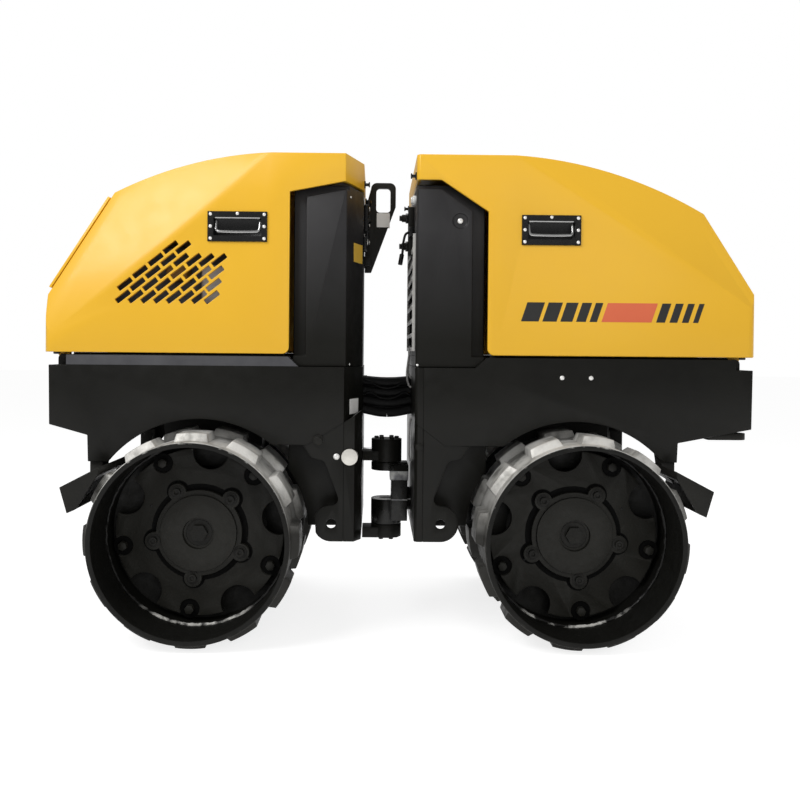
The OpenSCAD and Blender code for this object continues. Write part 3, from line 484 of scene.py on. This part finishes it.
def joinAll(objs, name):
    deselectAll()
    for obj in objs:
        obj.select_set(True)
    bpy.context.view_layer.objects.active = objs[0]
    if len(objs) > 1:
        bpy.ops.object.join()
    whole = bpy.context.view_layer.objects.active
    whole.name = name
    whole.data.name = name
    return whole


def finishPiece(obj, body, material):
    bakePlace(obj)
    obj.data.materials.clear()
    obj.data.materials.append(material)
    for face in obj.data.polygons:
        face.material_index = 0
    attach(obj, body)
    return obj


# A copy of CAD nodes with its triangles merged and its edges rounded, shown in their place
def dress(name, sources, material, width=1.5, segments=2, flatten=True):
    copies = []
    for source in sources:
        piece = nodes[source].copy()
        piece.data = nodes[source].data.copy()
        piece.hide_render = piece.hide_viewport = False
        bpy.context.collection.objects.link(piece)
        copies.append(piece)
    piece = joinAll(copies, name)
    editAll(piece)
    bpy.ops.mesh.remove_doubles(threshold=0.00001)
    if flatten:
        bpy.ops.mesh.dissolve_limited(angle_limit=math.radians(0.3))
    bpy.ops.mesh.customdata_custom_splitnormals_clear()
    endEdit()
    roundEdges(piece, width, segments, 30, False)
    finishPiece(piece, bodyOf[sources[0]], material)
    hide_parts(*sources)
    return piece


# A box between two corners, with rounded edges
def plateBox(low, high, width=1.5, segments=2):
    low, high = Vector(low), Vector(high)
    bpy.ops.mesh.primitive_cube_add(size=1, location=(low + high) / 2)
    obj = bpy.context.object
    obj.scale = [abs(b - a) for a, b in zip(low, high)]
    bpy.ops.object.transform_apply(location=True, rotation=True, scale=True)
    roundEdges(obj, width, segments)
    return obj


# A rod from one point to another, its ends chamfered
def rod(start, end, radius, width=1.0, sides=32, segments=2):
    start, end = Vector(start), Vector(end)
    bpy.ops.mesh.primitive_cylinder_add(vertices=sides, radius=radius / 1000, depth=(end - start).length)
    obj = bpy.context.object
    obj.matrix_basis = Matrix.Translation((start + end) / 2) @ turnTo(end - start)
    bakePlace(obj)
    roundEdges(obj, width, segments)
    return obj


# A tube along a smooth line through the points
def tube(points, radius, sides=5, steps=6):
    points = [Vector(p) for p in points]
    ends = [points[0] * 2 - points[1]] + points + [points[-1] * 2 - points[-2]]
    line = []
    for k in range(1, len(ends) - 2):
        a, b, c, d = ends[k - 1:k + 3]
        for step in range(steps):
            t = step / steps
            square, cube = 2 * a - 5 * b + 4 * c - d, 3 * b - a - 3 * c + d
            line.append(0.5 * (2 * b + (c - a) * t + square * t * t + cube * t ** 3))
    line.append(points[-1])
    curve = bpy.data.curves.new("line", "CURVE")
    curve.dimensions = "3D"
    curve.bevel_depth, curve.bevel_resolution, curve.use_fill_caps = radius / 1000, sides, True
    spline = curve.splines.new("POLY")
    spline.points.add(len(line) - 1)
    for point, place in zip(spline.points, line):
        point.co = tuple(place) + (1,)
    obj = bpy.data.objects.new("line", curve)
    bpy.context.collection.objects.link(obj)
    makeActive(obj)
    bpy.ops.object.convert(target="MESH")
    obj = bpy.context.object
    editAll(obj)
    bpy.ops.mesh.remove_doubles(threshold=0.00001)
    bpy.ops.mesh.normals_make_consistent(inside=False)
    endEdit()
    bpy.ops.object.shade_smooth_by_angle(angle=math.radians(40))
    return obj


# Screw heads, made once and copied; each stands on Z = 0 with its head up
def hexHead(across=20, height=9, washer=14, washerHeight=2.4):
    bpy.ops.mesh.primitive_cylinder_add(vertices=32, radius=washer / 1000, depth=washerHeight / 1000,
                                        location=(0, 0, washerHeight / 2000))
    base = bpy.context.object
    roundEdges(base, 0.5)
    bpy.ops.mesh.primitive_cylinder_add(vertices=6, radius=across / 2000 / math.cos(math.pi / 6),
                                        depth=height / 1000,
                                        location=(0, 0, (washerHeight + height / 2) / 1000))
    head = bpy.context.object
    selectFaces(head, lambda face: face.normal.z > 0.9)
    bpy.ops.mesh.inset(thickness=across * 0.07 / 1000, depth=across * 0.03 / 1000)
    endEdit()
    roundEdges(head, 0.7)
    return joinAll([base, head], "hexHead")


def domeHead(radius=7, height=4):
    bpy.ops.mesh.primitive_uv_sphere_add(segments=20, ring_count=10, radius=radius / 1000)
    head = bpy.context.object
    selectPoints(head, lambda co: co.z < -0.00001)
    bpy.ops.mesh.delete(type="VERT")
    bpy.ops.mesh.select_all(action="SELECT")
    bpy.ops.transform.resize(value=(1, 1, height / radius))
    endEdit()
    selectPoints(head, lambda co: co.z < 0.00001)
    bpy.ops.mesh.edge_face_add()
    bpy.ops.mesh.select_all(action="SELECT")
    bpy.ops.mesh.normals_make_consistent(inside=False)
    endEdit()
    bpy.ops.object.shade_smooth_by_angle(angle=math.radians(50))
    head.name = "domeHead"
    return head


def socketHead(radius=11, height=10, washer=18, washerHeight=3):
    bpy.ops.mesh.primitive_cylinder_add(vertices=32, radius=washer / 1000, depth=washerHeight / 1000,
                                        location=(0, 0, washerHeight / 2000))
    base = bpy.context.object
    roundEdges(base, 0.6)
    bpy.ops.mesh.primitive_cylinder_add(vertices=24, radius=radius / 1000, depth=height / 1000,
                                        location=(0, 0, (washerHeight + height / 2) / 1000))
    head = bpy.context.object
    selectFaces(head, lambda face: face.normal.z > 0.9)
    bpy.ops.mesh.inset(thickness=radius * 0.45 / 1000, depth=0)
    bpy.ops.mesh.inset(thickness=0.0001, depth=-height * 0.5 / 1000)
    endEdit()
    roundEdges(head, 0.8)
    return joinAll([base, head], "socketHead")


def repeat(template, name, places, body, material):
    copies = []
    for place, direction, scale in places:
        obj = template.copy()
        obj.data = template.data.copy()
        bpy.context.collection.objects.link(obj)
        obj.data.transform(Matrix.Translation(place) @ turnTo(direction) @ Matrix.Scale(scale, 4))
        copies.append(obj)
    return finishPiece(joinAll(copies, name), body, material)


# Boxes, rods and lines from a list of sizes, in a module's own places
def makeShapes(module, shapes):
    made = []
    for kind, *values in shapes:
        if kind == "line":
            points, *size = values
            made.append(tube([at(module, *point) for point in points], *size))
        else:
            start, end, *size = values
            make = plateBox if kind == "box" else rod
            made.append(make(at(module, *start), at(module, *end), *size))
    return made


# Rounded edges for the CAD pieces that show: width in mm, and finish
dressed = {
    "frontHoodShell": (["front_hood"], yellowPaint, 1.5, 3),
    "rearHoodShell": (["rear_hood"], yellowPaint, 3.0, 3),
    "frontNosePanel": (["front_nose"], yellowPaint, 2.0, 2),
    "frontTowerShell": (["front_tower"], satinBlack, 3.0, 3),
    "rearTowerShell": (["rear_tower"], satinBlack, 3.0, 3),
    "frontSidePlates": (["front_sides"], ledgeSheenPaint, 1.5, 2),
    "rearSidePlates": (["rear_sides"], blackPaint, 1.5, 2),
    "frontEndPlate": (["front_end"], blackPaint, 1.5, 2),
    "rearEndPlate": (["rear_end"], blackPaint, 1.5, 2),
    "frontFloor": (["front_frame"], blackPaint, 1.5, 2), "rearFloor": (["rear_frame"], blackPaint, 1.5, 2),
    "frontHandlePlates": (["front_handles"], blackPlastic, 1.2, 2),
    "rearHandlePlates": (["rear_handles"], blackPlastic, 1.2, 2),
    "liftingPlate": (["lifting_eye"], castBlack, 1.5, 2),
    "steerArmPlates": (["steer_arms"], castBlack, 1.2, 2),
    "frontScraperBars": (["front_scrapers"], castBlack, 1.2, 2),
    "rearScraperBars": (["rear_scrapers"], castBlack, 1.2, 2),
    "frontLeftDrum": (["front_left_drum"], frontDrumSteel, 1.5, 2),
    "frontRightDrum": (["front_right_drum"], frontDrumSteel, 1.5, 2),
    "rearLeftDrum": (["rear_left_drum"], rearDrumSteel, 1.5, 2),
    "rearRightDrum": (["rear_right_drum"], rearDrumSteel, 1.5, 2),
    "frontLeftDisc": (["front_left_disc"], discBlack, 1.5, 2),
    "frontRightDisc": (["front_right_disc"], discBlack, 1.5, 2),
    "rearLeftDisc": (["rear_left_disc"], discBlack, 1.5, 2),
    "rearRightDisc": (["rear_right_disc"], discBlack, 1.5, 2),
    "yokeCasting": (["yoke"], yokeBlack, 2.0, 2), "lockPinHead": (["lock_pin"], zinc, 1.5, 2),
    "frontDriveCase": (["front_drive"], castBlack, 2.5, 2),
    "rearDriveCase": (["rear_drive"], castBlack, 2.5, 2),
    "rearTieLugs": (["rear_tie_lugs"], castBlack, 1.5, 2),
    "rearValveBlock": (["rear_valves"], castBlack, 2.0, 2),
    "engineBlock": (["front_engine"], engineGrey, 8.0, 3), "tankBlock": (["rear_tank"], castBlack, 14.0, 4),
    "barrelTube": (["steer_barrel"], castBlack, 1.2, 2),
}
for name, (sources, material, width, segments) in dressed.items():
    dress(name, sources, material, width, segments, name != "frontHoodShell")

# The nodes that stay as they are
plain = {"front_hinges": castBlack, "rear_hinges": castBlack, "rear_grille": castBlack, "steer_rod": chrome,
         "front_shaft": castBlack, "rear_shaft": castBlack, "front_buffers": rubber, "rear_buffers": rubber,
         "front_hoses": hoseRubber, "rear_hoses": hoseRubber}
for name, material in plain.items():
    nodes[name].data.materials.clear()
    nodes[name].data.materials.append(material)
print("CAD pieces dressed")

# Handles: a rim, a bail that lies in the pocket, a rolled lip over it and seven rivets
handle = {"front": (404, 1102), "rear": (430, 1101), "bailDrop": 13, "bailRadius": 4.6, "lipRise": 25,
          "lipRadius": 5.0, "rimHalf": (78, 39), "rimBorder": 12.5, "rimThick": 1.2, "rivet": (4.6, 2.6),
          "rivets": ((-71, 32), (0, 34), (71, 32), (-71, 0), (71, 0), (-71, -32), (71, -32))}


def addHandles(module):
    u0, z0 = handle[module]
    body = module + "_hood"
    low, lip = z0 - handle["bailDrop"], z0 + handle["lipRise"]
    wide, tall = handle["rimHalf"]
    bail = [(u0 - 58, 296, z0 + 20), (u0 - 58, 304, z0 - 4), (u0 - 54, 306, low + 2), (u0 - 46, 307, low),
            (u0, 307, low - 1), (u0 + 46, 307, low), (u0 + 54, 306, low + 2), (u0 + 58, 304, z0 - 4),
            (u0 + 58, 296, z0 + 20)]
    rims, bails, rivets = [], [], []
    for s in both:
        bails.append(tube([at(module, u, s * y, z) for u, y, z in bail], handle["bailRadius"], 4, 4))
        lipStart, lipEnd = at(module, u0 - 60, s * 308, lip), at(module, u0 + 60, s * 308, lip)
        bails.append(rod(lipStart, lipEnd, handle["lipRadius"], 1.6, 20))
        for du, dz in handle["rivets"]:
            rivets.append((at(module, u0 + du, s * 314, z0 + dz), (0, s, 0), 1.0))
        rimLow = at(module, u0 - wide, s * 313.6, z0 - tall)
        rimHigh = at(module, u0 + wide, s * 315.2, z0 + tall)
        rim = plateBox(rimLow, rimHigh, 0.5, 1)
        selectFaces(rim, lambda face: face.normal.y * s > 0.9)
        bpy.ops.mesh.inset(thickness=handle["rimBorder"] / 1000, depth=0)
        bpy.ops.mesh.delete(type="FACE")
        endEdit()
        selectFaces(rim, lambda face: face.normal.y * s < -0.9)
        bpy.ops.mesh.delete(type="FACE")
        endEdit()
        makeActive(rim)
        thick = rim.modifiers.new("thick", "SOLIDIFY")
        thick.thickness = handle["rimThick"] / 1000
        bpy.ops.object.modifier_apply(modifier=thick.name)
        rims.append(rim)
    finishPiece(joinAll(rims, module + "HandleRims"), body, blackPlastic)
    finishPiece(joinAll(bails, module + "HandleBails"), body, handleSteel)
    head = domeHead(*handle["rivet"])
    repeat(head, module + "HandleRivets", rivets, body, brightSteel)
    bpy.data.objects.remove(head)


for module in outward:
    addHandles(module)
print("handles ready")

# Blank stripes on the rear hood: slanted black bars with one red bar
stripes = {"low": 858, "high": 909, "lean": 17, "thick": 0.5, "face": 310,
           "black": [(351, 398), (408, 446), (456, 488), (498, 524), (534, 554), (712, 736), (748, 769),
                     (781, 799), (811, 825)],
           "red": [(566, 700)]}


def slantedBar(u0, u1, s):
    bpy.ops.mesh.primitive_cube_add(size=1)
    bar = bpy.context.object
    low, high, thick = stripes["low"], stripes["high"], stripes["thick"]
    bar.scale = ((u1 - u0) / 1000, thick / 1000, (high - low) / 1000)
    bar.location = at("rear", (u0 + u1) / 2, s * (stripes["face"] + thick / 2), (low + high) / 2)
    bpy.ops.object.transform_apply(location=True, rotation=True, scale=True)
    middle = (low + high) / 2000
    selectPoints(bar, lambda co: co.z > middle)
    bpy.ops.transform.translate(value=(stripes["lean"] / 1000, 0, 0))
    endEdit()
    roundEdges(bar, 0.2, 1)
    return bar


for colour, material, slotName in (("black", markBlack, "black_paint"), ("red", markRed, "yellow_paint")):
    bars = [slantedBar(u0, u1, s) for s in both for u0, u1 in stripes[colour]]
    finishPiece(joinAll(bars, colour + "Stripes"), "rear_hood", material)
print("stripes ready")

# Screws and bolts on the frames and towers: outward, across, up, size
hexTemplate, domeTemplate, socketTemplate = hexHead(), domeHead(), socketHead()
screws = {"bright": {"front": [(137, 305, 493, 1.25)],
                     "rear": [(462.5, 310, 708, 0.9), (540, 310, 708, 0.9)]},
          "dark": {"front": [(185, 310, 534, 1.1)], "rear": [(83, 305, 519, 0.7)]},
          "tower": {"front": [("chamfer", 106, 268, 738.6, 0.42), ("chamfer", 106, 268, 1190, 0.5)],
                    "rear": [("side", 189, 287, 1126, 1.1), ("side", 77, 292.5, 738.6, 0.5)]}}


# Which way a tower's screw points: straight out at the side, or square to the inner chamfer
def towerWay(module, face, s):
    return (0, s, 0) if face == "side" else (-0.95 * outward[module], 0.31 * s, 0)


for module in outward:
    for shade, template, material, slotName in (("bright", domeTemplate, brightSteel, "zinc_plate"),
                                                ("dark", hexTemplate, castBlack, "black_paint")):
        places = [(at(module, u, s * y, z), (0, s, 0), size)
                  for u, y, z, size in screws[shade][module] for s in both]
        repeat(template, module + shade.capitalize() + "Screws", places, module + "_module", material)
for module in outward:
    places = [(at(module, u, s * y, z), towerWay(module, face, s), size)
              for face, u, y, z, size in screws["tower"][module] for s in both]
    repeat(domeTemplate, module + "TowerScrews", places, module + "_module", brightSteel)

# Drum fittings: hub bolts, plugs, near-black discs as painted shadow round the hub and bolts and in the
# mount hollows, and the weld bead inside each drum
drum = {"turn": {"front": 28.7, "rear": 29.5}, "bolts": 5, "hubBolts": 124, "hubFace": 269, "mounts": 212,
        "plugs": 150, "plugAngles": (62, 242), "plugFace": 253, "bead": (243.5, 288), "beadRadius": 4.2}
# Painted shadow: thin near-black discs under the hub flange and the hub bolts, and on the floor of the
# mount hollows
paintedShadowSizes = {"bolt": (252.5, 254, 31, 40), "mount": (247.5, 249, 26, 40), "hub": (252.5, 254.3, 131, 96)}


# Outward and up of a place on the drum, at a radius and an angle from the top
def onDrum(radius, angle):
    return axle["out"] + radius * math.sin(angle), axle["up"] + radius * math.cos(angle)


def paintedShadowDisc(module, name, u, z, s):
    low, high, radius, sides = paintedShadowSizes[name]
    return rod(at(module, u, s * low, z), at(module, u, s * high, z), radius, 0.3, sides, 1)


for module in outward:
    body = module + "_drums"
    hubBolts, plugs, paintedShadowDiscs = [], [], []
    for s in both:
        for k in range(drum["bolts"]):
            a = math.radians(drum["turn"][module] + 360 / drum["bolts"] * k)
            u, z = onDrum(drum["hubBolts"], a)
            hubBolts.append((at(module, u, s * drum["hubFace"], z), (0, s, 0), 1.0))
            paintedShadowDiscs.append(paintedShadowDisc(module, "bolt", u, z, s))
            paintedShadowDiscs.append(paintedShadowDisc(module, "mount", *onDrum(drum["mounts"], a), s))
        paintedShadowDiscs.append(paintedShadowDisc(module, "hub", axle["out"], axle["up"], s))
        for a in drum["plugAngles"]:
            u, z = onDrum(drum["plugs"], math.radians(a))
            plugs.append((at(module, u, s * drum["plugFace"], z), (0, s, 0), 0.5))
    repeat(socketTemplate, module + "HubBolts", hubBolts, body, castBlack)
    repeat(domeTemplate, module + "DiscPlugs", plugs, body, rubber)
    finishPiece(joinAll(paintedShadowDiscs, module + "DiscPaintedShadows"), body, paintedShadowBlack)
    beads = []
    for s in both:
        radius, y = drum["bead"]
        bpy.ops.mesh.primitive_torus_add(major_radius=radius / 1000, minor_radius=drum["beadRadius"] / 1000,
                                         major_segments=220, minor_segments=8)
        bead = bpy.context.object
        editAll(bead)
        bpy.ops.transform.vertex_random(offset=0.0012, uniform=0.5, normal=0.5, seed=7)
        endEdit()
        centre = at(module, axle["out"], s * y, axle["up"])
        bead.matrix_basis = Matrix.Translation(centre) @ turnTo((0, 1, 0))
        bakePlace(bead)
        bpy.ops.object.shade_smooth_by_angle(angle=math.radians(60))
        beads.append(bead)
    finishPiece(joinAll(beads, module + "WeldBeads"), body, beadSteel)
print("drum fittings ready")

# Hoses across the joint, in two halves that meet at the steering axis, with a nut at each frame
hoses = {"radius": 14.2, "rows": [(688, 5), (660, 7), (632, 9), (604, 11)],
         "columns": {-12.6: 1.0, 12.6: 0.9}, "nut": (70.7, 60, 14.6),
         "innerRadius": 15.5, "innerRows": [(674, 6), (646, 8), (618, 10)],
         "sagAlong": ((70.5, 0), (48, 0.45), (24, 0.86), (0, 1)),
         "cableRadius": 3.2, "cables": [(-25, 683, 1), (-26, 652, -1)]}


# A hose's line from the frame to the steering axis, with its share of the sag at each point
def hoseLine(module, y, z, sag):
    return [at(module, u, y, z - sag * share) for u, share in hoses["sagAlong"]]


def hoseBundle(module):
    parts = []
    nutStart, nutEnd, nutRadius = hoses["nut"]
    for z, sag in hoses["rows"]:
        for y, slack in hoses["columns"].items():
            parts.append(tube(hoseLine(module, y, z, sag * slack), hoses["radius"], 5, 8))
            parts.append(rod(at(module, nutStart, y, z), at(module, nutEnd, y, z), nutRadius, 0.8, 6))
    for z, sag in hoses["innerRows"]:
        parts.append(tube(hoseLine(module, 0, z, sag), hoses["innerRadius"], 4, 8))
    for y0, z0, turn in hoses["cables"]:
        path = [(68, y0, z0 + 6 * turn), (50, y0 - 3, z0 + 2), (26, y0 - 2, z0 - 12), (0, y0, z0 - 18)]
        parts.append(tube([at(module, *point) for point in path], hoses["cableRadius"], 3, 8))
    bundle = joinAll(parts, module + "HoseBundle")
    bakePlace(bundle)
    bundle.data.materials.clear()
    bundle.data.materials.append(hoseRubber)
    if module == "front":
        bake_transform(bundle)
    else:
        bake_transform(bundle)
    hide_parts(module + "_hoses")


for module in outward:
    hoseBundle(module)

# Pale leads that run down the rear module's inner end
leads = {"points": [[(66, -34, 792), (63, -36, 750), (62, -36, 716), (67, -33, 700), (74, -32, 694)],
                    [(66, -46, 786), (60, -48, 742), (57, -46, 706), (63, -42, 676), (74, -40, 668)],
                    [(74, -60, 590), (67, -62, 566), (66, -62, 500), (67, -62, 462), (74, -62, 446)]],
         "radius": 2.6}
leadParts = makeShapes("rear", [("line", points, leads["radius"], 3, 6) for points in leads["points"]])
finishPiece(joinAll(leadParts, "rearLeads"), "rear_module", paleCable)
print("hoses ready")

# Guard over the grille: pale bars across the rear module's inner end, in a thin frame; their pale grey is a
# painted highlight of light grazing them
guard = {"low": 776, "high": 1100, "face": 65, "back": 70, "half": 216, "pitch": 40, "bar": 11}


def grilleGuard():
    parts = []
    for s in both:
        low = at("rear", guard["face"], s * guard["half"], guard["low"])
        high = at("rear", guard["back"] + 3, s * (guard["half"] + 6), guard["high"])
        parts.append(plateBox(low, high, 0.8, 1))
    z = guard["low"]
    while z <= guard["high"] - guard["bar"]:
        low = at("rear", guard["face"], -guard["half"], z)
        high = at("rear", guard["back"], guard["half"], z + guard["bar"])
        parts.append(plateBox(low, high, 1.6))
        z += guard["pitch"]
    finishPiece(joinAll(parts, "grilleGuard"), "rear_module", guardHighlightGrey)


grilleGuard()

# Blank plates: on the lifting plate, and on the chamfers of the front frame and the front tower
plates = {"lifting": (15.9, 10.3, 1165), "frame": (93.2, 233.9, 624), "tower": (85.8, 201.7, 1045),
          "size": {"lifting": (39, 42), "frame": (70, 41), "tower": (72, 52)}, "thick": 0.8,
          "chamfer": (0.952, 0.306)}
outwards, aside = plates["chamfer"]
plateList = [("lifting", plateWhite, s, (0, s, 0)) for s in both]
for s in both:
    plateList.append(("frame", plateWhite, s, (outwards, s * aside, 0)))
    plateList.append(("tower", plateYellow, s, (outwards, s * aside, 0)))
for k, (name, material, s, normal) in enumerate(plateList):
    u, y, z = plates[name]
    wide, tall = plates["size"][name]
    bpy.ops.mesh.primitive_cube_add(size=1)
    label = bpy.context.object
    label.scale = (wide / 1000, plates["thick"] / 1000, tall / 1000)
    bpy.ops.object.transform_apply(scale=True)
    roundEdges(label, 0.25, 1)
    flat = Vector(normal)
    turn = Matrix.Rotation(math.atan2(flat.x, -flat.y), 4, "Z")
    label.matrix_basis = Matrix.Translation(at("front", u, s * y, z)) @ turn
    finishPiece(joinAll([label], name + "Label" + "ABCDEF"[k]), "front_module", material)
print("plates ready")

# Catches on the hoods' inner ends: a foot, a stem and a knob
catch = {"end": 71, "across": {"front": 150, "rear": 288}, "height": 1245, "foot": 9, "stem": 4.5,
         "knob": 7.5}
for module, y in catch["across"].items():
    parts = []
    u, z, foot = catch["end"], catch["height"], catch["foot"]
    for s in both:
        parts += makeShapes(module, [
            ("box", (u + 0.5, s * (y - foot), z - foot), (u - 4, s * (y + foot), z + foot), 1.0),
            ("rod", (u - 3, s * y, z), (u - 13, s * y, z), catch["stem"], 1.0, 20),
            ("rod", (u - 12, s * y, z), (u - 16, s * y, z), catch["knob"], 1.2, 20)])
    finishPiece(joinAll(parts, module + "Catches"), module + "_hood", blackPlastic)

# Switch box beside the lifting plate, its screws and a pale cap
switches = {"box": [("box", (73.4, -84, 1082), (58, -30, 1200), 4.0, 3),
                    ("rod", (60, -58, 1216), (60, -58, 1196), 9, 2.0),
                    ("box", (73.4, -140, 1060), (62, -100, 1100), 3.0, 3),
                    ("rod", (62, -118, 1118), (62, -118, 1094), 6, 1.5)],
            "screws": [(-72, 1092), (-72, 1140), (-72, 1190), (-42, 1092), (-42, 1190)], "screwFace": 57.8,
            "cap": [("rod", (66, -92, 1112), (66, -92, 1082), 6.5, 2.0)]}
finishPiece(joinAll(makeShapes("front", switches["box"]), "switchBox"), "front_module", blackPlastic)
places = [(at("front", switches["screwFace"], y, z), (1, 0, 0), 0.6) for y, z in switches["screws"]]
repeat(domeTemplate, "switchBoxScrews", places, "front_module", brightSteel)
finishPiece(joinAll(makeShapes("front", switches["cap"]), "paleCap"), "front_module", plateWhite)

# Lamp, couplings and hanging grip on the rear module's inner end
rearEnd = {"lamp": [("rod", (73, -250, 1186), (62, -250, 1186), 13, 2.5),
                    ("rod", (64, -250, 1186), (57, -250, 1186), 10, 3.5, 32, 4)],
           "couplings": [(-60, 1082), (-60, 1164)],
           "grip": [("line", ((60, -96, 1120), (48, -98, 1112), (42, -99, 1088), (40, -99, 1062),
                              (38, -99, 1052)), 3.6, 3),
                    ("rod", (38.4, -99, 1056), (33, -99, 1024), 6.5, 2.2, 20),
                    ("box", (73.4, -112, 1106), (58, -86, 1134), 2.0)]}
finishPiece(joinAll(makeShapes("rear", rearEnd["lamp"]), "rearLamp"), "rear_module", lensClear)
fittings = []
for y, z in rearEnd["couplings"]:
    fittings += makeShapes("rear", [("rod", (57.4, y, z), (49, y, z), 15, 1.0, 6),
                                    ("rod", (39, y, z), (31, y, z), 8, 1.0, 20)])
fittings += makeShapes("rear", rearEnd["grip"])
finishPiece(joinAll(fittings, "rearFittings"), "rear_module", blackPlastic)
print("middle fittings ready")

# Rubber stops that the hoods close on, at their outer corners
hoodStops = {"along": {"front": 884, "rear": 950}, "across": 296, "low": 760.2, "high": 768, "radius": 8.5}
for module, u in hoodStops["along"].items():
    y, low, high = hoodStops["across"], hoodStops["low"], hoodStops["high"]
    stops = [("rod", (u, s * y, low), (u, s * y, high), hoodStops["radius"], 2.4, 24, 3) for s in both]
    finishPiece(joinAll(makeShapes(module, stops), module + "HoodStops"), module + "_module", rubber)

# Engine under the front hood: ribbed cover and air filter, pipes, bolts
engine = {"cover": ("box", (372, -92, 1058), (640, 92, 1104), 10, 3),
          "ribs": 7, "ribStart": 388, "ribPitch": 38, "ribWidth": 12,
          "filter": ("rod", (420, 122, 1092), (640, 122, 1092), 52, 6, 40, 3),
          "pipes": [("line", ((636, 122, 1092), (690, 122, 1088), (716, 90, 1070), (716, 40, 1050)), 20, 5),
                    ("line", ((372, -40, 1086), (344, -60, 1078), (322, -90, 1050), (318, -120, 1010)),
                     16, 5),
                    ("rod", (460, -150, 1062), (460, -150, 1128), 38, 5, 36, 3)],
          "bolts": (382, 440, 498, 556, 630)}
ribs = [engine["ribStart"] + k * engine["ribPitch"] for k in range(engine["ribs"])]
ribBoxes = [("box", (u, -86, 1100), (u + engine["ribWidth"], 86, 1112), 2.5) for u in ribs]
cover = makeShapes("front", [engine["cover"]] + ribBoxes + [engine["filter"]])
finishPiece(joinAll(cover, "engineCover"), "front_module", alloy)
finishPiece(joinAll(makeShapes("front", engine["pipes"]), "enginePipes"), "front_module", hoseRubber)
places = [(at("front", u, s * 82, 1104), (0, 0, 1), 0.8) for u in engine["bolts"] for s in both]
repeat(hexTemplate, "engineBolts", places, "front_module", zinc)

# What shows through the slots of the front hood: a pale shield and an ochre cover, along and up
slotCovers = {"slotShields": (alloy, (436, 508), (896, 1004)),
              "beltCovers": (ochre, (546, 604), (962, 1006))}
for name, (material, along, up) in slotCovers.items():
    covers = [("box", (along[0], s * 186, up[0]), (along[1], s * 262, up[1]), 6, 3) for s in both]
    finishPiece(joinAll(makeShapes("front", covers), name), "front_module", material)

# Tank under the rear hood: caps, a cooler and its lines
tank = {"fittings": [("rod", (640, -110, 998), (640, -110, 1034), 44, 5, 40, 3),
                     ("rod", (470, 120, 998), (470, 120, 1026), 34, 5, 36, 3),
                     ("box", (372, -180, 998), (520, -40, 1084), 8, 3)],
        "lines": [("line", ((500, 60, 1002), (520, 60, 1040), (580, 40, 1048), (640, 20, 1036),
                            (660, 10, 1002)), 11, 4),
                  ("line", ((420, 40, 1002), (404, 40, 1036), (350, 70, 1040), (318, 90, 1010)), 11, 4)]}
finishPiece(joinAll(makeShapes("rear", tank["fittings"]), "tankFittings"), "rear_module", blackPlastic)
finishPiece(joinAll(makeShapes("rear", tank["lines"]), "tankHoses"), "rear_module", hoseRubber)
for template in (hexTemplate, domeTemplate, socketTemplate):
    bpy.data.objects.remove(template)
print("engine bay ready")

low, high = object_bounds()
